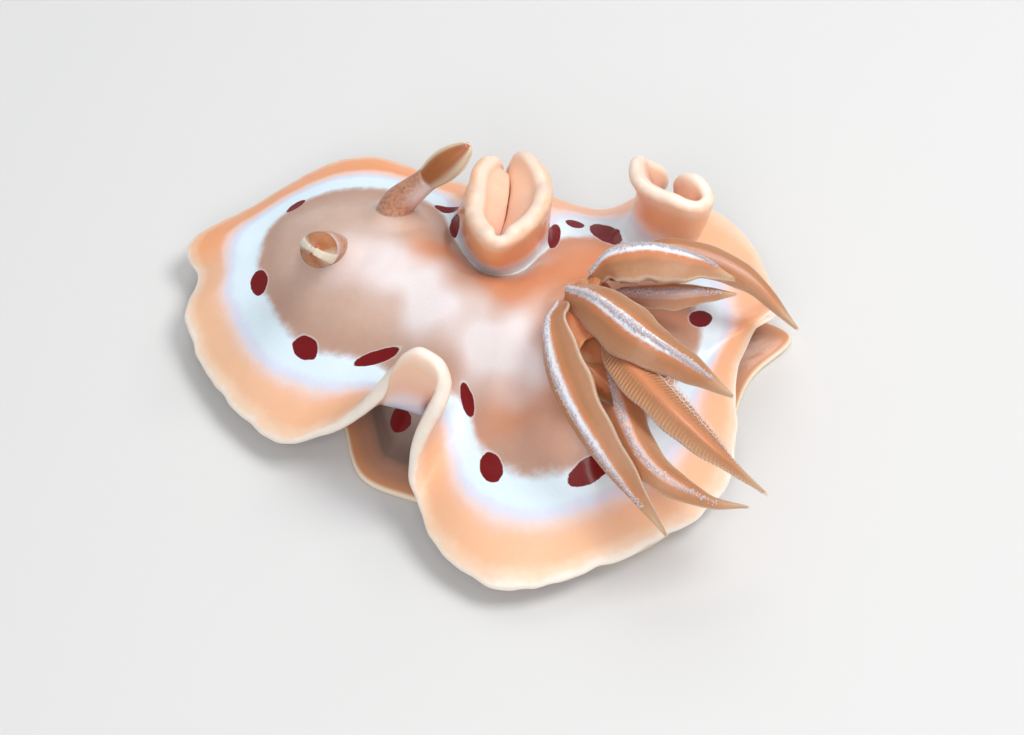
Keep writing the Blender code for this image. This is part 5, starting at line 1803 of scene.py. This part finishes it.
def make_web(first, second, reach, sag, stuff):
    """A thin sheet between the roots of two leaves, scooped out at its free edge."""
    widths = {row[0]: row[1] for row in GILLS}
    along = np.linspace(0, 1, WEB_STEPS)
    edges = []
    for name, share, sign in (first, second):
        path, _, lift, side, _ = leaf_frames(name, WEB_STEPS)
        wide = (leaf_width(along, widths[name]) * wing_share(name, along, sign) * share)[:, None]
        edges.append(path + side * wide * sign - lift * (leaf_drop(share) * wide + WEB_SINK))
    across = np.linspace(0, 1, WEB_COLUMNS)
    rings = []
    for u in np.linspace(0, 1, WEB_ROWS):
        reached = u * reach * (1 - WEB_SCOOP * np.sin(math.pi * across))
        start, end = (
            np.column_stack([np.interp(reached, along, edge[:, axis]) for axis in range(3)]) for edge in edges
        )
        sheet = start * (1 - across[:, None]) + end * across[:, None]
        sheet[:, 2] -= sag * np.sin(math.pi * across) * (0.4 + 0.6 * u)
        rings.append(np.concatenate([sheet, sheet[::-1] - np.array((0, 0, WEB_THICKNESS))]))
    fan = np.tile(np.concatenate([across, across[::-1]]), WEB_ROWS)
    ridge = 0.78 + 0.05 * np.cos(fan * 8 * math.pi)
    return closed_piece("web_" + first[0] + second[0], rings, stuff, GILL_FIELDS, ridge=ridge, along=0.3)


def make_dome(middle, size, stuff):
    """A dome that leaves grow out of, slightly lobed."""
    phi = np.linspace(0, 2 * math.pi, HEART_COLUMNS, endpoint=False)
    rings = []
    for theta in np.linspace(0.03, 0.97, HEART_ROWS) * math.pi:
        level = math.sin(theta)
        way = np.column_stack([level * np.cos(phi), level * np.sin(phi), np.full(len(phi), math.cos(theta))])
        swell = 1 + 0.05 * np.sin(5 * phi) * level
        rings.append(np.array(middle) + way * np.array(size) * swell[:, None])
    return closed_piece("heart", rings, stuff, GILL_FIELDS, ridge=0.82, along=0.3)


def make_heart(stuff):
    """The domes that the leaves grow out of, and the webs between their roots."""
    pieces = [make_dome(middle, size, stuff) for middle, size in HEARTS]
    pieces += [make_web(first, second, reach, sag, stuff) for first, second, reach, sag in WEBS]
    return join_pieces("gill_heart", pieces)


# Operators


SKIN_NODES = [
    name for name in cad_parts
    if name.startswith(("back_", "mantle_", "foot_", "snout", "mouth_", "rhinophore_sheath", "gill_pocket"))
]
TREES = {}


def hold_plate(mesh):
    """A plate's object, kept out of the picture while its copies are made."""
    thing = new_object(mesh.name, mesh)
    thing.hide_render = True
    return thing


class SLUG_OT_skin(bpy.types.Operator):
    """Build the skin of body, mantle, head and foot in one piece"""

    bl_idname = "slug.skin"
    bl_label = "Skin"

    def execute(self, context):
        settings = context.scene.slug_skin
        skin, TREES["skin"] = make_skin(settings)
        pieces = [skin, make_muzzle(), make_mouth_feeler(1), make_mouth_feeler(-1)]
        stuff = skin_material(settings)
        for piece in pieces:
            piece.data.materials.append(stuff)
        skin = join_pieces("skin", pieces)
        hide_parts(*SKIN_NODES)
        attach(skin, BODY)
        return {"FINISHED"}


class SLUG_OT_feelers(bpy.types.Operator):
    """Build the two rhinophores"""

    bl_idname = "slug.feelers"
    bl_label = "Feelers"

    def execute(self, context):
        settings = context.scene.slug_feelers
        stuff = feeler_material(settings)
        for row in HORNS:
            horn = make_horn(row, TREES["skin"], settings, stuff)
            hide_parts("rhinophore_stalk_" + row[0], "rhinophore_club_" + row[0])
            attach(horn, BODY)
        return {"FINISHED"}


class SLUG_OT_gills(bpy.types.Operator):
    """Build the gill leaves"""

    bl_idname = "slug.gills"
    bl_label = "Gills"

    def execute(self, context):
        settings = context.scene.slug_gills
        stuff = gill_material(settings)
        plates = {
            (kind, sign): hold_plate(gill_plate(kind, inner, rise, sign))
            for kind, inner, rise in PLATE_KINDS for sign in (-1, 1)
        }
        plates["grain"] = hold_plate(frost_grain())
        plates["curl"] = hold_plate(gill_curl())
        for name, widest, *_ in GILLS:
            leaf = make_leaf(name, widest, settings, stuff, plates)
            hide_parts("gill_leaf_" + name)
            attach(leaf, BODY)
        for plate in plates.values():
            bpy.data.objects.remove(plate, do_unlink=True)
        heart = make_heart(stuff)
        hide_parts("gill_stem")
        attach(heart, BODY)
        return {"FINISHED"}


class SLUG_OT_stage(bpy.types.Operator):
    """Set the floor, the lights and the camera"""

    bl_idname = "slug.stage"
    bl_label = "Stage"

    def execute(self, context):
        settings = context.scene.slug_stage
        make_floor(settings)
        make_lights(settings)
        make_camera()
        return {"FINISHED"}


def make_floor(settings):
    size = FLOOR_SIZE
    corners = [(-size, -size, 0), (size, -size, 0), (size, size, 0), (-size, size, 0)]
    mesh = bpy.data.meshes.new("floor")
    mesh.from_pydata(corners, [], [(0, 1, 2, 3)])
    stuff = bpy.data.materials.new("floor_paper")
    stuff.use_nodes = True
    shader = stuff.node_tree.nodes["Principled BSDF"]
    shader.inputs["Base Color"].default_value = (*settings.floor, 1.0)
    shader.inputs["Roughness"].default_value = 0.85
    mesh.materials.append(stuff)
    floor = new_object("floor", mesh)


def direction(azimuth, elevation):
    """The way out at these angles in degrees; azimuth 0 is toward -Y and 90 toward +X."""
    a, e = math.radians(azimuth), math.radians(elevation)
    return Vector((math.sin(a) * math.cos(e), -math.cos(a) * math.cos(e), math.sin(e)))


def aim(thing, target):
    """Turns a light or camera to look at a point."""
    thing.rotation_euler = (target - thing.location).to_track_quat("-Z", "Y").to_euler()


def make_lights(settings):
    """Three soft lamps and a pale world; each lamp has azimuth, elevation, distance, power and size."""
    target = Vector(CAMERA_TARGET) * MM
    lights = (
        ("key", 292.0, 60.0, 0.35, settings.key, 0.16),
        ("fill", 190.0, 44.0, 0.4, settings.fill, 0.24),
        ("back", 20.0, 50.0, 0.35, 0.4 * settings.fill, 0.2),
    )
    for name, azimuth, elevation, distance, power, size in lights:
        data = bpy.data.lights.new(name, "AREA")
        data.energy = power
        data.size = size
        lamp = new_object(name, data)
        lamp.location = target + direction(azimuth, elevation) * distance
        aim(lamp, target)
    world = bpy.data.worlds.new("studio")
    world.use_nodes = True
    sky = world.node_tree.nodes["Background"].inputs
    sky["Color"].default_value = (*WORLD_COLOUR, 1.0)
    sky["Strength"].default_value = WORLD_STRENGTH
    bpy.context.scene.world = world
    bpy.context.scene.view_settings.view_transform = "Standard"


def make_camera():
    data = bpy.data.cameras.new("camera")
    data.lens = CAMERA_LENS
    data.sensor_width = CAMERA_SENSOR
    data.clip_start = 0.01
    camera = new_object("camera", data)
    target = Vector(CAMERA_TARGET) * MM
    camera.location = target + direction(CAMERA_AZIMUTH, CAMERA_ELEVATION) * CAMERA_DISTANCE * MM
    aim(camera, target)
    bpy.context.scene.camera = camera


class SLUG_PT_panel(bpy.types.Panel):
    """Lists the pieces of the sea slug and their sizes"""

    bl_idname = "SLUG_PT_panel"
    bl_label = "Sea slug"
    bl_space_type = "VIEW_3D"
    bl_region_type = "UI"
    bl_category = "Sea slug"

    def draw(self, context):
        for operator, group in zip(OPERATORS, GROUPS):
            box = self.layout.box()
            box.operator(operator.bl_idname)
            settings = getattr(context.scene, group)
            for key in settings.__annotations__:
                box.prop(settings, key)


GROUPS = {
    "slug_skin": SkinSettings,
    "slug_feelers": FeelerSettings,
    "slug_gills": GillSettings,
    "slug_stage": StageSettings,
}
OPERATORS = (SLUG_OT_skin, SLUG_OT_feelers, SLUG_OT_gills, SLUG_OT_stage)


def register():
    for made in (*GROUPS.values(), *OPERATORS, SLUG_PT_panel):
        bpy.utils.register_class(made)
    for name, made in GROUPS.items():
        setattr(bpy.types.Scene, name, bpy.props.PointerProperty(type=made))


def unregister():
    for name in GROUPS:
        delattr(bpy.types.Scene, name)
    for made in reversed((*GROUPS.values(), *OPERATORS, SLUG_PT_panel)):
        bpy.utils.unregister_class(made)


def main():
    register()
    bpy.ops.slug.skin()
    bpy.ops.slug.feelers()
    bpy.ops.slug.gills()
    bpy.ops.slug.stage()


if __name__ == "__main__":
    main()
